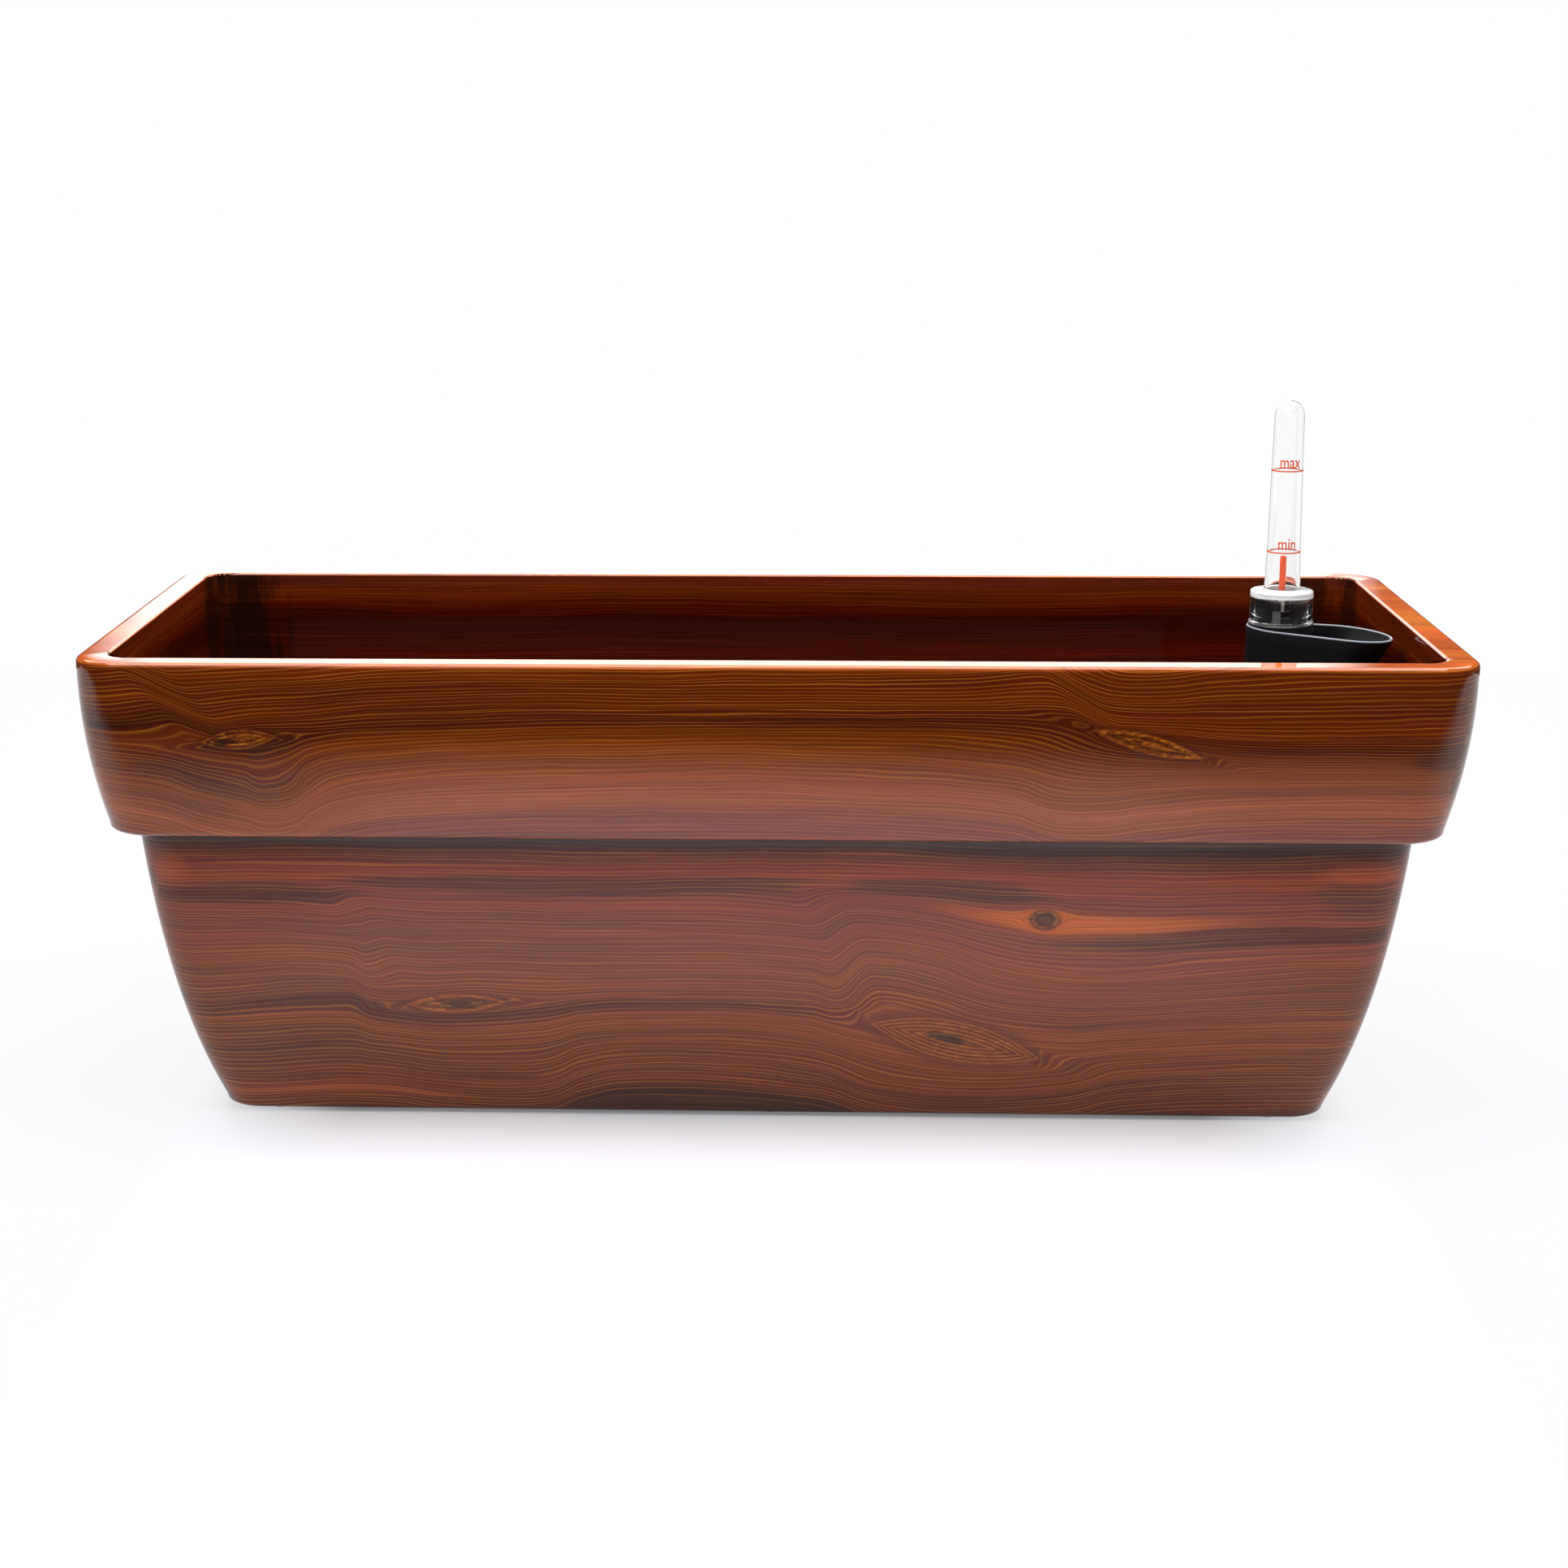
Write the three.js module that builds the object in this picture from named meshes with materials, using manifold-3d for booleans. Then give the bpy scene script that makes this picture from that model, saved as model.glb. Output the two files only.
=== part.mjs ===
// Self-watering window-box planter: a banded trough shell, a perforated separator with wick baskets
// on legs, a filler spout with a float gauge under a clear cap, and a drain bung in the floor.
// Millimetres, +Z up, origin at the middle of the footprint, on the ground.
import * as THREE from 'three'
import { mergeVertices } from 'three/addons/utils/BufferGeometryUtils.js'
import Module from 'manifold-3d'

const wasm = await Module()
wasm.setup()

// Trough
const LENGTH = 800
const DEPTH = 340
const RIM_HEIGHT = 290
const RIM_WIDTH = 17.8
const RIM_EDGE = 2.8
const RIM_INNER_EDGE = 1.5
const BAND_BOTTOM = 185
const SHELL_BOTTOM = 1.5
const RECESS_TOP = 7.5
const FLOOR_TOP = 13.5
const BASE_INSET = 65
const BASE_RING = 26
const CORNER_STEPS = 5
const GAP = 0.3

// Feet under the base ring
const FOOT_RADIUS = 8
const FOOT_POCKET = 3
const FOOT_X = [-300, 0, 300]
const FOOT_Y = [-91.5, 91.5]

// Drain in the middle of the floor
const DRAIN_RADIUS = 16
const DRAIN_BORE = 11
const DRAIN_FLANGE = 21

// Separator, held above the reservoir
const PLATE_BOTTOM = 85
const PLATE_THICKNESS = 3
const PLATE_TOP = PLATE_BOTTOM + PLATE_THICKNESS
const PLATE_HALF_X = 350
const PLATE_HALF_Y = 120
const PLATE_CORNER = 14
const LIP_HEIGHT = 9
const LIP_THICKNESS = 2.2
const SLOT_PITCH = 44
const BASKET_X = [-225, -75, 75, 225]
const BASKET_HOLE = 30.6
const LEG_X = [-285, -95, 95, 285]
const LEG_Y = [-82, 82]
const LEG_ARM = 8
const LEG_WEB = 2.4

// Filler spout: an oval shaft that widens into a funnel on the side of the end wall
const NECK_X = 307.3
const SPOUT_Y = -25
const NECK_RADIUS = 20.5
const SHAFT_REACH = 12
const FUNNEL_RADIUS = 28
const FUNNEL_REACH = 43.2
const FUNNEL_BOTTOM = 225
const SPOUT_WALL = 2
const SHAFT_BOTTOM = PLATE_TOP + 2.6
const RIM_LEFT_Z = 289.3
const RIM_SLOPE = 0.084
const DECK_TOP = 290.6
const COLLAR_RADIUS = 16
const COLLAR_TOP = 305.5

// Float gauge
const CAP_BOTTOM = DECK_TOP + GAP
const CAP_TOP = 310.6
const CAP_RADIUS = 18.8
const TUBE_TOP = 424.5
const TUBE_WALL = 1.5
const ROD_TOP = 306
const TIP_TOP = 331.3
const TIP_RADIUS = 1.9
const FLOAT_RADIUS = 15
const FLOAT_BOTTOM = 20
const FLOAT_TOP = 40
const CAGE_BOTTOM = 17.5
const CAGE_RADIUS = 20.2
const CAGE_WALL = 2

// Materials
const plastic = (color, roughness) => new THREE.MeshStandardMaterial({ color, roughness, metalness: 0 })
const woodLacquer = plastic(0x7a3414, 0.22)
const blackPlastic = plastic(0x1a1a1a, 0.55)
const blackRubber = plastic(0x141414, 0.85)
const greyPlastic = plastic(0x3a3d40, 0.6)
const whitePlastic = plastic(0xeeeeea, 0.45)
const orangePlastic = plastic(0xff6200, 0.4)
const floatFoam = plastic(0xf2f0e8, 0.8)
const clearPlastic = plastic(0xe8f2f4, 0.05)
clearPlastic.transparent = true
clearPlastic.opacity = 0.3

const group = new THREE.Group()

// A closed geometry becomes a solid once its shared vertices are welded and its folded faces dropped.
function toSolid(geometry) {
  const bare = geometry.clone()
  bare.deleteAttribute('normal')
  bare.deleteAttribute('uv')
  const welded = mergeVertices(bare, 1e-4)
  const corners = welded.index.array
  const kept = []
  for (let k = 0; k < corners.length; k += 3) {
    const [a, b, c] = [corners[k], corners[k + 1], corners[k + 2]]
    if (a !== b && b !== c && c !== a) kept.push(a, b, c)
  }
  const vertProperties = new Float32Array(welded.attributes.position.array)
  return new wasm.Manifold(new wasm.Mesh({ numProp: 3, vertProperties, triVerts: new Uint32Array(kept) }))
}

function addPiece(name, solid, material) {
  const mesh = solid.getMesh()
  const geometry = new THREE.BufferGeometry()
  geometry.setAttribute('position', new THREE.BufferAttribute(mesh.vertProperties, 3))
  geometry.setIndex(new THREE.BufferAttribute(mesh.triVerts, 1))
  geometry.computeVertexNormals()
  const piece = new THREE.Mesh(geometry, material)
  piece.name = name
  group.add(piece)
}

// Upright cylinder between two heights.
function cylinder(x, y, radius, bottom, top, sides = 24) {
  const geometry = new THREE.CylinderGeometry(radius, radius, top - bottom, sides)
  geometry.rotateX(Math.PI / 2)
  geometry.translate(x, y, (top + bottom) / 2)
  return toSolid(geometry)
}

function box(x, y, z, sizeX, sizeY, sizeZ, turn = 0) {
  const geometry = new THREE.BoxGeometry(sizeX, sizeY, sizeZ)
  geometry.rotateZ(turn)
  geometry.translate(x, y, z)
  return toSolid(geometry)
}

// Round piece about an upright axis, from rows of [radius, z].
function turned(x, y, rows, sides = 24) {
  const geometry = new THREE.LatheGeometry(rows.map(([radius, z]) => new THREE.Vector2(radius, z)), sides)
  geometry.rotateX(Math.PI / 2)
  geometry.translate(x, y, 0)
  return toSolid(geometry)
}

// Rows run up the outside and down the inside. outlineAt gives a row's point at a column.
function lofted(rows, columns, outlineAt) {
  const profile = rows.map((row, k) => new THREE.Vector2(1 + k, row.z))
  const geometry = new THREE.LatheGeometry(profile, columns)
  const position = geometry.attributes.position
  for (let k = 0; k < position.count; k++) {
    const column = Math.floor(k / rows.length) % columns
    const row = rows[k % rows.length]
    const [x, y] = outlineAt(row, column)
    position.setXYZ(k, x, y, row.z)
  }
  return toSolid(geometry)
}

// Rounded-rectangle tub, from rows of [inset from the full outline, z, corner radius].
function tub(x, y, halfX, halfY, rows, cornerSteps = CORNER_STEPS) {
  const perCorner = cornerSteps + 1
  const outlineAt = (row, column) => {
    const quarter = Math.floor(column / perCorner)
    const angle = (quarter + (column % perCorner) / cornerSteps) * Math.PI / 2
    const sideX = quarter === 0 || quarter === 3 ? 1 : -1
    const sideY = quarter < 2 ? 1 : -1
    return [
      x + sideX * (halfX - row.inset - row.radius) + row.radius * Math.cos(angle),
      y + sideY * (halfY - row.inset - row.radius) + row.radius * Math.sin(angle),
    ]
  }
  const named = rows.map(([inset, z, radius]) => ({ inset, z, radius }))
  return lofted(named, 4 * perCorner, outlineAt)
}

// Oval of two equal half circles round a shaft, from rows of [inset, z].
function oval(rows) {
  const halfX = NECK_RADIUS + SHAFT_REACH / 2
  const rounded = rows.map(([inset, z]) => [inset, z, NECK_RADIUS - inset])
  return tub(NECK_X + SHAFT_REACH / 2, SPOUT_Y, halfX, NECK_RADIUS, rounded)
}

// Egg of a small circle at the neck and a large one at a distance, joined by their tangents.
function eggOutline(row, column) {
  const columns = EGG_COLUMNS / 2
  const tangent = Math.acos((row.small - row.large) / row.reach)
  const onLarge = column < columns
  const step = (onLarge ? column : column - columns) / (columns - 1)
  const angle = onLarge ? -tangent + 2 * tangent * step : tangent + 2 * (Math.PI - tangent) * step
  const radius = onLarge ? row.large : row.small
  const centre = NECK_X + (onLarge ? row.reach : 0)
  return [centre + radius * Math.cos(angle), SPOUT_Y + radius * Math.sin(angle)]
}
const EGG_COLUMNS = 28

function curveRows(start, control, end, count, radiusAt) {
  const curve = new THREE.QuadraticBezierCurve(...[start, control, end].map(([a, b]) => new THREE.Vector2(a, b)))
  return curve.getPoints(count).map((point) => [point.x, point.y, radiusAt(point.x)])
}

function arcRows(centreInset, centreZ, size, from, to, count, radiusAt) {
  const rows = []
  for (let k = 0; k <= count; k++) {
    const angle = THREE.MathUtils.degToRad(from + (to - from) * k / count)
    const inset = centreInset + size * Math.cos(angle)
    rows.push([inset, centreZ + size * Math.sin(angle), radiusAt(inset)])
  }
  return rows
}

function planterShell() {
  const outerCorner = (inset) => 28 - 6 * inset / BASE_INSET
  const innerCorner = (inset) => 15 - (inset - RIM_WIDTH) / 20
  const rows = [
    [DEPTH / 2, RECESS_TOP, 0],
    [BASE_INSET + BASE_RING + 1, RECESS_TOP, 8],
    [BASE_INSET + BASE_RING, SHELL_BOTTOM, 8],
    ...arcRows(68.6, SHELL_BOTTOM + 4, 4, 270, 210, 2, outerCorner),
    ...curveRows([64.2, 5], [37.9, 71.4], [27.2, 177], 9, outerCorner),
    [26.4, BAND_BOTTOM - 1, 25],
    [25.4, BAND_BOTTOM, 25],
    ...arcRows(16.6, BAND_BOTTOM + 4.5, 4.5, 270, 195, 3, outerCorner),
    ...curveRows([11.7, 190], [0.4, 236.4], [0.4, 282], 7, outerCorner),
    ...arcRows(RIM_EDGE, RIM_HEIGHT - RIM_EDGE, RIM_EDGE, 180, 90, 3, outerCorner),
    ...arcRows(RIM_WIDTH - RIM_INNER_EDGE, RIM_HEIGHT - RIM_INNER_EDGE, RIM_INNER_EDGE, 90, 0, 2, innerCorner),
    ...curveRows([18.2, 245], [18.6, 205], [35, 176], 4, innerCorner),
    ...curveRows([35, 176], [43, 95], [60, 34], 5, innerCorner).slice(1),
    [65, 22, 12],
    [70, 16, 12],
    [78, FLOOR_TOP, 12],
    [DEPTH / 2, FLOOR_TOP, 0],
  ]
  let shell = tub(0, 0, LENGTH / 2, DEPTH / 2, rows)
  shell = shell.subtract(cylinder(0, 0, DRAIN_RADIUS, 0, 2 * FLOOR_TOP, 32))
  for (const x of FOOT_X) {
    for (const y of FOOT_Y) {
      shell = shell.subtract(cylinder(x, y, FOOT_RADIUS + GAP, 0, SHELL_BOTTOM + FOOT_POCKET, 20))
    }
  }
  addPiece('planter_shell', shell, woodLacquer)
}

function feet() {
  FOOT_X.forEach((x, column) => {
    FOOT_Y.forEach((y, row) => {
      const name = `foot_${['left', 'middle', 'right'][column]}_${['front', 'back'][row]}`
      const top = SHELL_BOTTOM + FOOT_POCKET - GAP
      const rows = [[0, 0], [FOOT_RADIUS - 1, 0], [FOOT_RADIUS, 1], [FOOT_RADIUS, top], [0, top]]
      addPiece(name, turned(x, y, rows, 20), blackRubber)
    })
  })
}

function drain() {
  const flangeTop = RECESS_TOP - GAP
  const bush = turned(0, 0, [
    [DRAIN_BORE, flangeTop - 3], [DRAIN_FLANGE, flangeTop - 3], [DRAIN_FLANGE, flangeTop],
    [DRAIN_RADIUS - GAP, flangeTop], [DRAIN_RADIUS - GAP, FLOOR_TOP], [DRAIN_BORE, FLOOR_TOP],
    [DRAIN_BORE, flangeTop - 3],
  ], 32)
  addPiece('drain_bush', bush, blackPlastic)
  const headBottom = FLOOR_TOP + GAP
  const stem = DRAIN_BORE - GAP
  const plug = turned(0, 0, [
    [0, 5], [stem - 1.5, 5], [stem, 8], [stem, headBottom], [15, headBottom], [15, headBottom + 3],
    [13.5, headBottom + 4], [0, headBottom + 4],
  ], 32)
  const tab = box(0, 0, headBottom + 9, 16, 3, 14)
  addPiece('drain_plug', plug.add(tab), blackRubber)
}

// The vent slots run in rows beside the baskets, and stop short of the spout.
function separatorPlate() {
  const face = tub(0, 0, PLATE_HALF_X, PLATE_HALF_Y, [
    [PLATE_HALF_Y, PLATE_BOTTOM, 0], [0, PLATE_BOTTOM, PLATE_CORNER], [0, PLATE_TOP + LIP_HEIGHT, PLATE_CORNER],
    [LIP_THICKNESS, PLATE_TOP + LIP_HEIGHT, PLATE_CORNER - LIP_THICKNESS],
    [LIP_THICKNESS, PLATE_TOP, PLATE_CORNER - LIP_THICKNESS], [PLATE_HALF_Y, PLATE_TOP, 0],
  ])
  let plate = face
  for (const x of BASKET_X) {
    plate = plate.subtract(cylinder(x, 0, BASKET_HOLE, PLATE_BOTTOM - 5, PLATE_TOP + 5, 28))
  }
  plate = plate.subtract(cylinder(NECK_X, SPOUT_Y, CAGE_RADIUS + 2 * GAP, PLATE_BOTTOM - 5, PLATE_TOP + 5, 28))
  plate = plate.subtract(box(NECK_X + 15, SPOUT_Y, PLATE_BOTTOM, 30, 26, 12))
  for (let x = -330; x <= 330; x += SLOT_PITCH) {
    for (const [y, length] of [[-102, 18], [-60, 26], [60, 26], [102, 18]]) {
      const nearSpout = x > 270 && y === -60
      if (!nearSpout) plate = plate.subtract(box(x, y, PLATE_BOTTOM, 5, length, 12))
    }
  }
  addPiece('separator_plate', plate, greyPlastic)
}

function wickBaskets() {
  BASKET_X.forEach((x, k) => {
    const bottom = FLOOR_TOP + 1
    let basket = turned(x, 0, [
      [0, bottom], [23, bottom], [30, PLATE_TOP + GAP], [34.5, PLATE_TOP + GAP], [34.5, PLATE_TOP + 2.5],
      [28.2, PLATE_TOP + 2.5], [21, bottom + 2.2], [0, bottom + 2.2],
    ], 24)
    for (let turn = 0; turn < 4; turn++) {
      basket = basket.subtract(box(x, 0, 50, 80, 5, 50, (turn + 0.5) * Math.PI / 4))
    }
    for (let turn = 0; turn < 4; turn++) {
      const angle = turn * Math.PI / 2
      const [holeX, holeY] = [x + 12 * Math.cos(angle), 12 * Math.sin(angle)]
      basket = basket.subtract(cylinder(holeX, holeY, 3, bottom - 3, bottom + 6, 8))
    }
    addPiece(`wick_basket_${k + 1}`, basket, greyPlastic)
  })
}

function supportLegs() {
  let count = 0
  for (const y of LEG_Y) {
    for (const x of LEG_X) {
      const bottom = FLOOR_TOP + GAP
      const top = PLATE_BOTTOM - GAP
      const middle = (top + bottom) / 2
      const along = box(x, y, middle, 2 * LEG_ARM, LEG_WEB, top - bottom)
      const across = box(x, y, middle, LEG_WEB, 2 * LEG_ARM, top - bottom)
      const foot = box(x, y, bottom + 1.25, 2 * LEG_ARM, 2 * LEG_ARM, 2.5)
      const head = box(x, y, top - 1, 2 * LEG_ARM, 2 * LEG_ARM, 2)
      count += 1
      addPiece(`support_leg_${count}`, along.add(across).add(foot).add(head), greyPlastic)
    }
  }
}

function spoutRows(thin) {
  const rows = [{ z: SHAFT_BOTTOM, small: NECK_RADIUS - thin, large: NECK_RADIUS - thin, reach: SHAFT_REACH }]
  const steps = 5
  for (let k = 0; k <= steps; k++) {
    const part = k / steps
    rows.push({
      z: THREE.MathUtils.lerp(FUNNEL_BOTTOM, RIM_LEFT_Z + 6, part),
      small: NECK_RADIUS - thin,
      large: THREE.MathUtils.lerp(NECK_RADIUS, FUNNEL_RADIUS, Math.sqrt(part)) - thin,
      reach: THREE.MathUtils.lerp(SHAFT_REACH, FUNNEL_REACH, part),
    })
  }
  return rows
}

function closedEgg(rows) {
  const flat = (z) => ({ z, small: 0, large: 0, reach: SHAFT_REACH })
  return lofted([flat(rows[0].z), ...rows, flat(rows.at(-1).z)], EGG_COLUMNS, eggOutline)
}

// The shaft and funnel, cut by the sloping rim, with a deck and a slotted collar over the float rod.
function fillerSpout() {
  const inside = spoutRows(SPOUT_WALL)
  inside[0].z -= 5
  inside.at(-1).z += 5
  let spout = closedEgg(spoutRows(0)).subtract(closedEgg(inside))
  const above = new THREE.BoxGeometry(200, 100, 60)
  above.translate(0, 0, 30)
  above.rotateY(Math.atan(RIM_SLOPE))
  above.translate(NECK_X - NECK_RADIUS, SPOUT_Y, RIM_LEFT_Z)
  spout = spout.subtract(toSolid(above))
  const deck = cylinder(NECK_X, SPOUT_Y, NECK_RADIUS - SPOUT_WALL / 2, DECK_TOP - 5, DECK_TOP, 32)
  const collar = cylinder(NECK_X, SPOUT_Y, COLLAR_RADIUS, DECK_TOP - 2, COLLAR_TOP, 32)
  const hollow = cylinder(NECK_X, SPOUT_Y, COLLAR_RADIUS - SPOUT_WALL, DECK_TOP, COLLAR_TOP + 1, 32)
  const bore = cylinder(NECK_X, SPOUT_Y, 6, DECK_TOP - 9, DECK_TOP + 1, 20)
  const slot = box(NECK_X, SPOUT_Y - COLLAR_RADIUS, COLLAR_TOP - 5, 5.4, 8, 11)
  spout = spout.add(deck).add(collar).subtract(hollow).subtract(bore).subtract(slot)
  addPiece('filler_spout', spout, blackPlastic)
}

// An oval socket for the shaft sits on the separator, with a slotted cup for the float below it.
function floatCage() {
  const seat = PLATE_TOP + GAP
  const socketTop = seat + 16
  let cage = oval([
    [NECK_RADIUS, seat], [-5, seat], [-5, seat + 2], [-2.5, seat + 2], [-2.5, socketTop], [-GAP, socketTop],
    [-GAP, seat + 2], [NECK_RADIUS, seat + 2],
  ])
  cage = cage.add(cylinder(NECK_X, SPOUT_Y, CAGE_RADIUS, CAGE_BOTTOM, seat + 1, 28))
  cage = cage.subtract(cylinder(NECK_X, SPOUT_Y, CAGE_RADIUS - CAGE_WALL, CAGE_BOTTOM + CAGE_WALL, seat + 5, 28))
  for (let turn = 0; turn < 3; turn++) {
    cage = cage.subtract(box(NECK_X, SPOUT_Y, 48, 60, 5, 52, (turn + 0.5) * Math.PI / 3))
  }
  for (const [x, y] of [[25.1, 0], [22.4, -9], [22.4, 9]]) {
    cage = cage.subtract(cylinder(NECK_X + x, SPOUT_Y + y, 3.6, seat - 1, seat + 3, 10))
  }
  addPiece('float_cage', cage, greyPlastic)
}

function rodGuide() {
  const bottom = DECK_TOP + GAP
  const outer = COLLAR_RADIUS - SPOUT_WALL - GAP
  const rows = [[3.4, bottom], [outer, bottom], [outer, bottom + 2], [5.4, bottom + 2], [5.4, bottom + 5]]
  rows.push([3.4, bottom + 5], [3.4, bottom])
  addPiece('rod_guide', turned(NECK_X, SPOUT_Y, rows, 24), blackPlastic)
}

// Cup with a shoulder and a long tapering tube that ends in a dome, all in one thin wall.
function gaugeCap() {
  const outside = [
    [CAP_RADIUS + 0.5, CAP_BOTTOM], [CAP_RADIUS + 0.5, CAP_BOTTOM + 1.2], [CAP_RADIUS, CAP_BOTTOM + 1.6],
    [CAP_RADIUS, CAP_TOP - 1.2], [CAP_RADIUS - 1.2, CAP_TOP], [11.6, CAP_TOP], [10.8, CAP_TOP + 1.2],
    [9.9, 334], [9.35, 383], [8.7, TUBE_TOP - 8],
  ]
  const dome = (size, top, count) => {
    const rows = []
    for (let k = 1; k <= count; k++) {
      const angle = k * Math.PI / 2 / count
      rows.push([k === count ? 0 : size * Math.cos(angle), top - 8 + 8 * Math.sin(angle)])
    }
    return rows
  }
  const domeInside = dome(8.7 - TUBE_WALL, TUBE_TOP - TUBE_WALL, 3).reverse()
  const inside = [
    [8.7 - TUBE_WALL, TUBE_TOP - 8 - TUBE_WALL], [9.35 - TUBE_WALL, 383], [9.9 - TUBE_WALL, 334],
    [9.6, CAP_TOP - 3], [CAP_RADIUS - 1.7, CAP_TOP - 3], [CAP_RADIUS - 1.7, CAP_BOTTOM],
  ]
  const rows = [...domeInside, ...inside, ...outside, ...dome(8.7, TUBE_TOP, 3)]
  addPiece('gauge_cap', turned(NECK_X, SPOUT_Y, rows, 24), clearPlastic)
}

function floatParts() {
  const half = 1.7
  const rodBottom = FLOAT_TOP + GAP
  let rod = box(NECK_X, SPOUT_Y, (rodBottom + ROD_TOP) / 2, 2 * half, 2 * half, ROD_TOP - rodBottom)
  for (let z = ROD_TOP - 4; z > ROD_TOP - 74; z -= 5) {
    rod = rod.subtract(box(NECK_X, SPOUT_Y - half, z, 5, 1.4, 2))
  }
  addPiece('float_rod', rod, whitePlastic)
  const tipBottom = ROD_TOP + GAP
  addPiece('rod_tip', turned(NECK_X, SPOUT_Y, [
    [0, tipBottom], [TIP_RADIUS, tipBottom], [TIP_RADIUS, TIP_TOP - 1], [TIP_RADIUS - 0.8, TIP_TOP], [0, TIP_TOP],
  ], 12), orangePlastic)
  addPiece('float', turned(NECK_X, SPOUT_Y, [
    [0, FLOAT_BOTTOM], [FLOAT_RADIUS - 2, FLOAT_BOTTOM], [FLOAT_RADIUS, FLOAT_BOTTOM + 2],
    [FLOAT_RADIUS, FLOAT_TOP - 2], [FLOAT_RADIUS - 2, FLOAT_TOP], [0, FLOAT_TOP],
  ], 24), floatFoam)
}

planterShell()
feet()
drain()
separatorPlate()
wickBaskets()
supportLegs()
fillerSpout()
floatCage()
rodGuide()
gaugeCap()
floatParts()

export default group
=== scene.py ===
import functools
import math

import bmesh
import bpy
from mathutils import Matrix, Vector


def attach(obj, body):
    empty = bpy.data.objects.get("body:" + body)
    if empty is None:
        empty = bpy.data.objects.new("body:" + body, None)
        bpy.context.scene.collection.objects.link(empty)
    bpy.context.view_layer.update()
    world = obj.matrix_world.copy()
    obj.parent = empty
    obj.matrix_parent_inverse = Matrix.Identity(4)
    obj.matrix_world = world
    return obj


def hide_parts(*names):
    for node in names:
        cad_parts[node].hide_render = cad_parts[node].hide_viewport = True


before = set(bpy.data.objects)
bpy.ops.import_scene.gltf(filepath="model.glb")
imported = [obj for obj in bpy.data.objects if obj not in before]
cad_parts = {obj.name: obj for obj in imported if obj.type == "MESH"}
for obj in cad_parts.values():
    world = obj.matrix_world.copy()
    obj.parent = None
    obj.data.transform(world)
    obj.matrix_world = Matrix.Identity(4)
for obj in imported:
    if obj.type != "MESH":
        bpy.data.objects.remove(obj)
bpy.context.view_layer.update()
bpy.ops.object.select_all(action="DESELECT")
scene = bpy.context.scene
scene.view_settings.view_transform = "Standard"
mm = 0.001
print("frame loaded")


def linear(hexColour):
    # sRGB hex to the linear values that the shader wants
    parts = [int(hexColour[k:k + 2], 16) / 255 for k in (1, 3, 5)]
    return tuple(c / 12.92 if c <= 0.04045 else ((c + 0.055) / 1.055) ** 2.4 for c in parts) + (1.0,)


def addNode(tree, kind, inputs=(), **settings):
    # one node with its settings; inputs are in socket order or by name, and each a value, a socket or a node
    node = tree.nodes.new("ShaderNode" + kind)
    for name, value in settings.items():
        setattr(node, name, value)
    for key, value in inputs.items() if isinstance(inputs, dict) else enumerate(inputs):
        if isinstance(value, bpy.types.Node):
            value = value.outputs[0]
        if isinstance(value, bpy.types.NodeSocket):
            tree.links.new(value, node.inputs[key])
        else:
            node.inputs[key].default_value = value
    return node


def newMaterial(name):
    # an empty material, and addNode bound to its tree
    material = bpy.data.materials.new(name)
    material.use_nodes = True
    material.node_tree.nodes.clear()
    return material, functools.partial(addNode, material.node_tree)


def startEdit(name):
    # the active object is renamed and opened for editing
    piece = bpy.context.active_object
    piece.name = name
    piece.data.name = name
    bpy.ops.object.mode_set(mode="EDIT")
    return piece


def endEdit():
    bpy.ops.object.mode_set(mode="OBJECT")


def applyModifier(piece, kind, **settings):
    modifier = piece.modifiers.new(kind.title(), kind)
    for name, value in settings.items():
        setattr(modifier, name, value)
    bpy.context.view_layer.objects.active = piece
    bpy.ops.object.modifier_apply(modifier=modifier.name)


def onlyActive(piece):
    bpy.ops.object.select_all(action="DESELECT")
    piece.select_set(True)
    bpy.context.view_layer.objects.active = piece


def applyPlace(piece):
    onlyActive(piece)
    bpy.ops.object.transform_apply(location=True, rotation=True, scale=True)


def tidyMesh(piece, angle=30):
    # doubles merged, normals out, smooth up to the given angle
    onlyActive(piece)
    bpy.ops.object.mode_set(mode="EDIT")
    bpy.ops.mesh.select_all(action="SELECT")
    bpy.ops.mesh.remove_doubles(threshold=1e-6)
    bpy.ops.mesh.normals_make_consistent(inside=False)
    bpy.ops.object.mode_set(mode="OBJECT")
    bpy.ops.object.shade_smooth_by_angle(angle=math.radians(angle))
    piece.select_set(False)


def ringLoft(name, rings, outline, count, closed=False):
    # a circle's edge is extruded ring after ring, and outline(ring, step) places each point of the new ring
    bpy.ops.mesh.primitive_circle_add(vertices=count, radius=1, location=(0, 0, 0))
    piece = startEdit(name)
    bpy.ops.mesh.select_mode(type="VERT")
    bpy.ops.mesh.select_all(action="SELECT")
    edited = bmesh.from_edit_mesh(piece.data)
    stepOf = edited.verts.layers.int.new("step")
    for vertex in edited.verts:
        vertex[stepOf] = round(math.atan2(vertex.co.y, vertex.co.x) / math.tau * count) % count
    bmesh.update_edit_mesh(piece.data)
    if not closed:
        bpy.ops.mesh.edge_face_add()
    for number, ring in enumerate(rings):
        if number:
            bpy.ops.mesh.extrude_edges_move()
        edited = bmesh.from_edit_mesh(piece.data)
        stepOf = edited.verts.layers.int["step"]
        for vertex in edited.verts:
            if vertex.select:
                vertex.co = [value * mm for value in outline(ring, vertex[stepOf])]
        bmesh.update_edit_mesh(piece.data)
    if not closed:
        bpy.ops.mesh.edge_face_add()
    edited = bmesh.from_edit_mesh(piece.data)
    edited.verts.layers.int.remove(edited.verts.layers.int["step"])
    bmesh.update_edit_mesh(piece.data)
    endEdit()
    return piece


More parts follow.
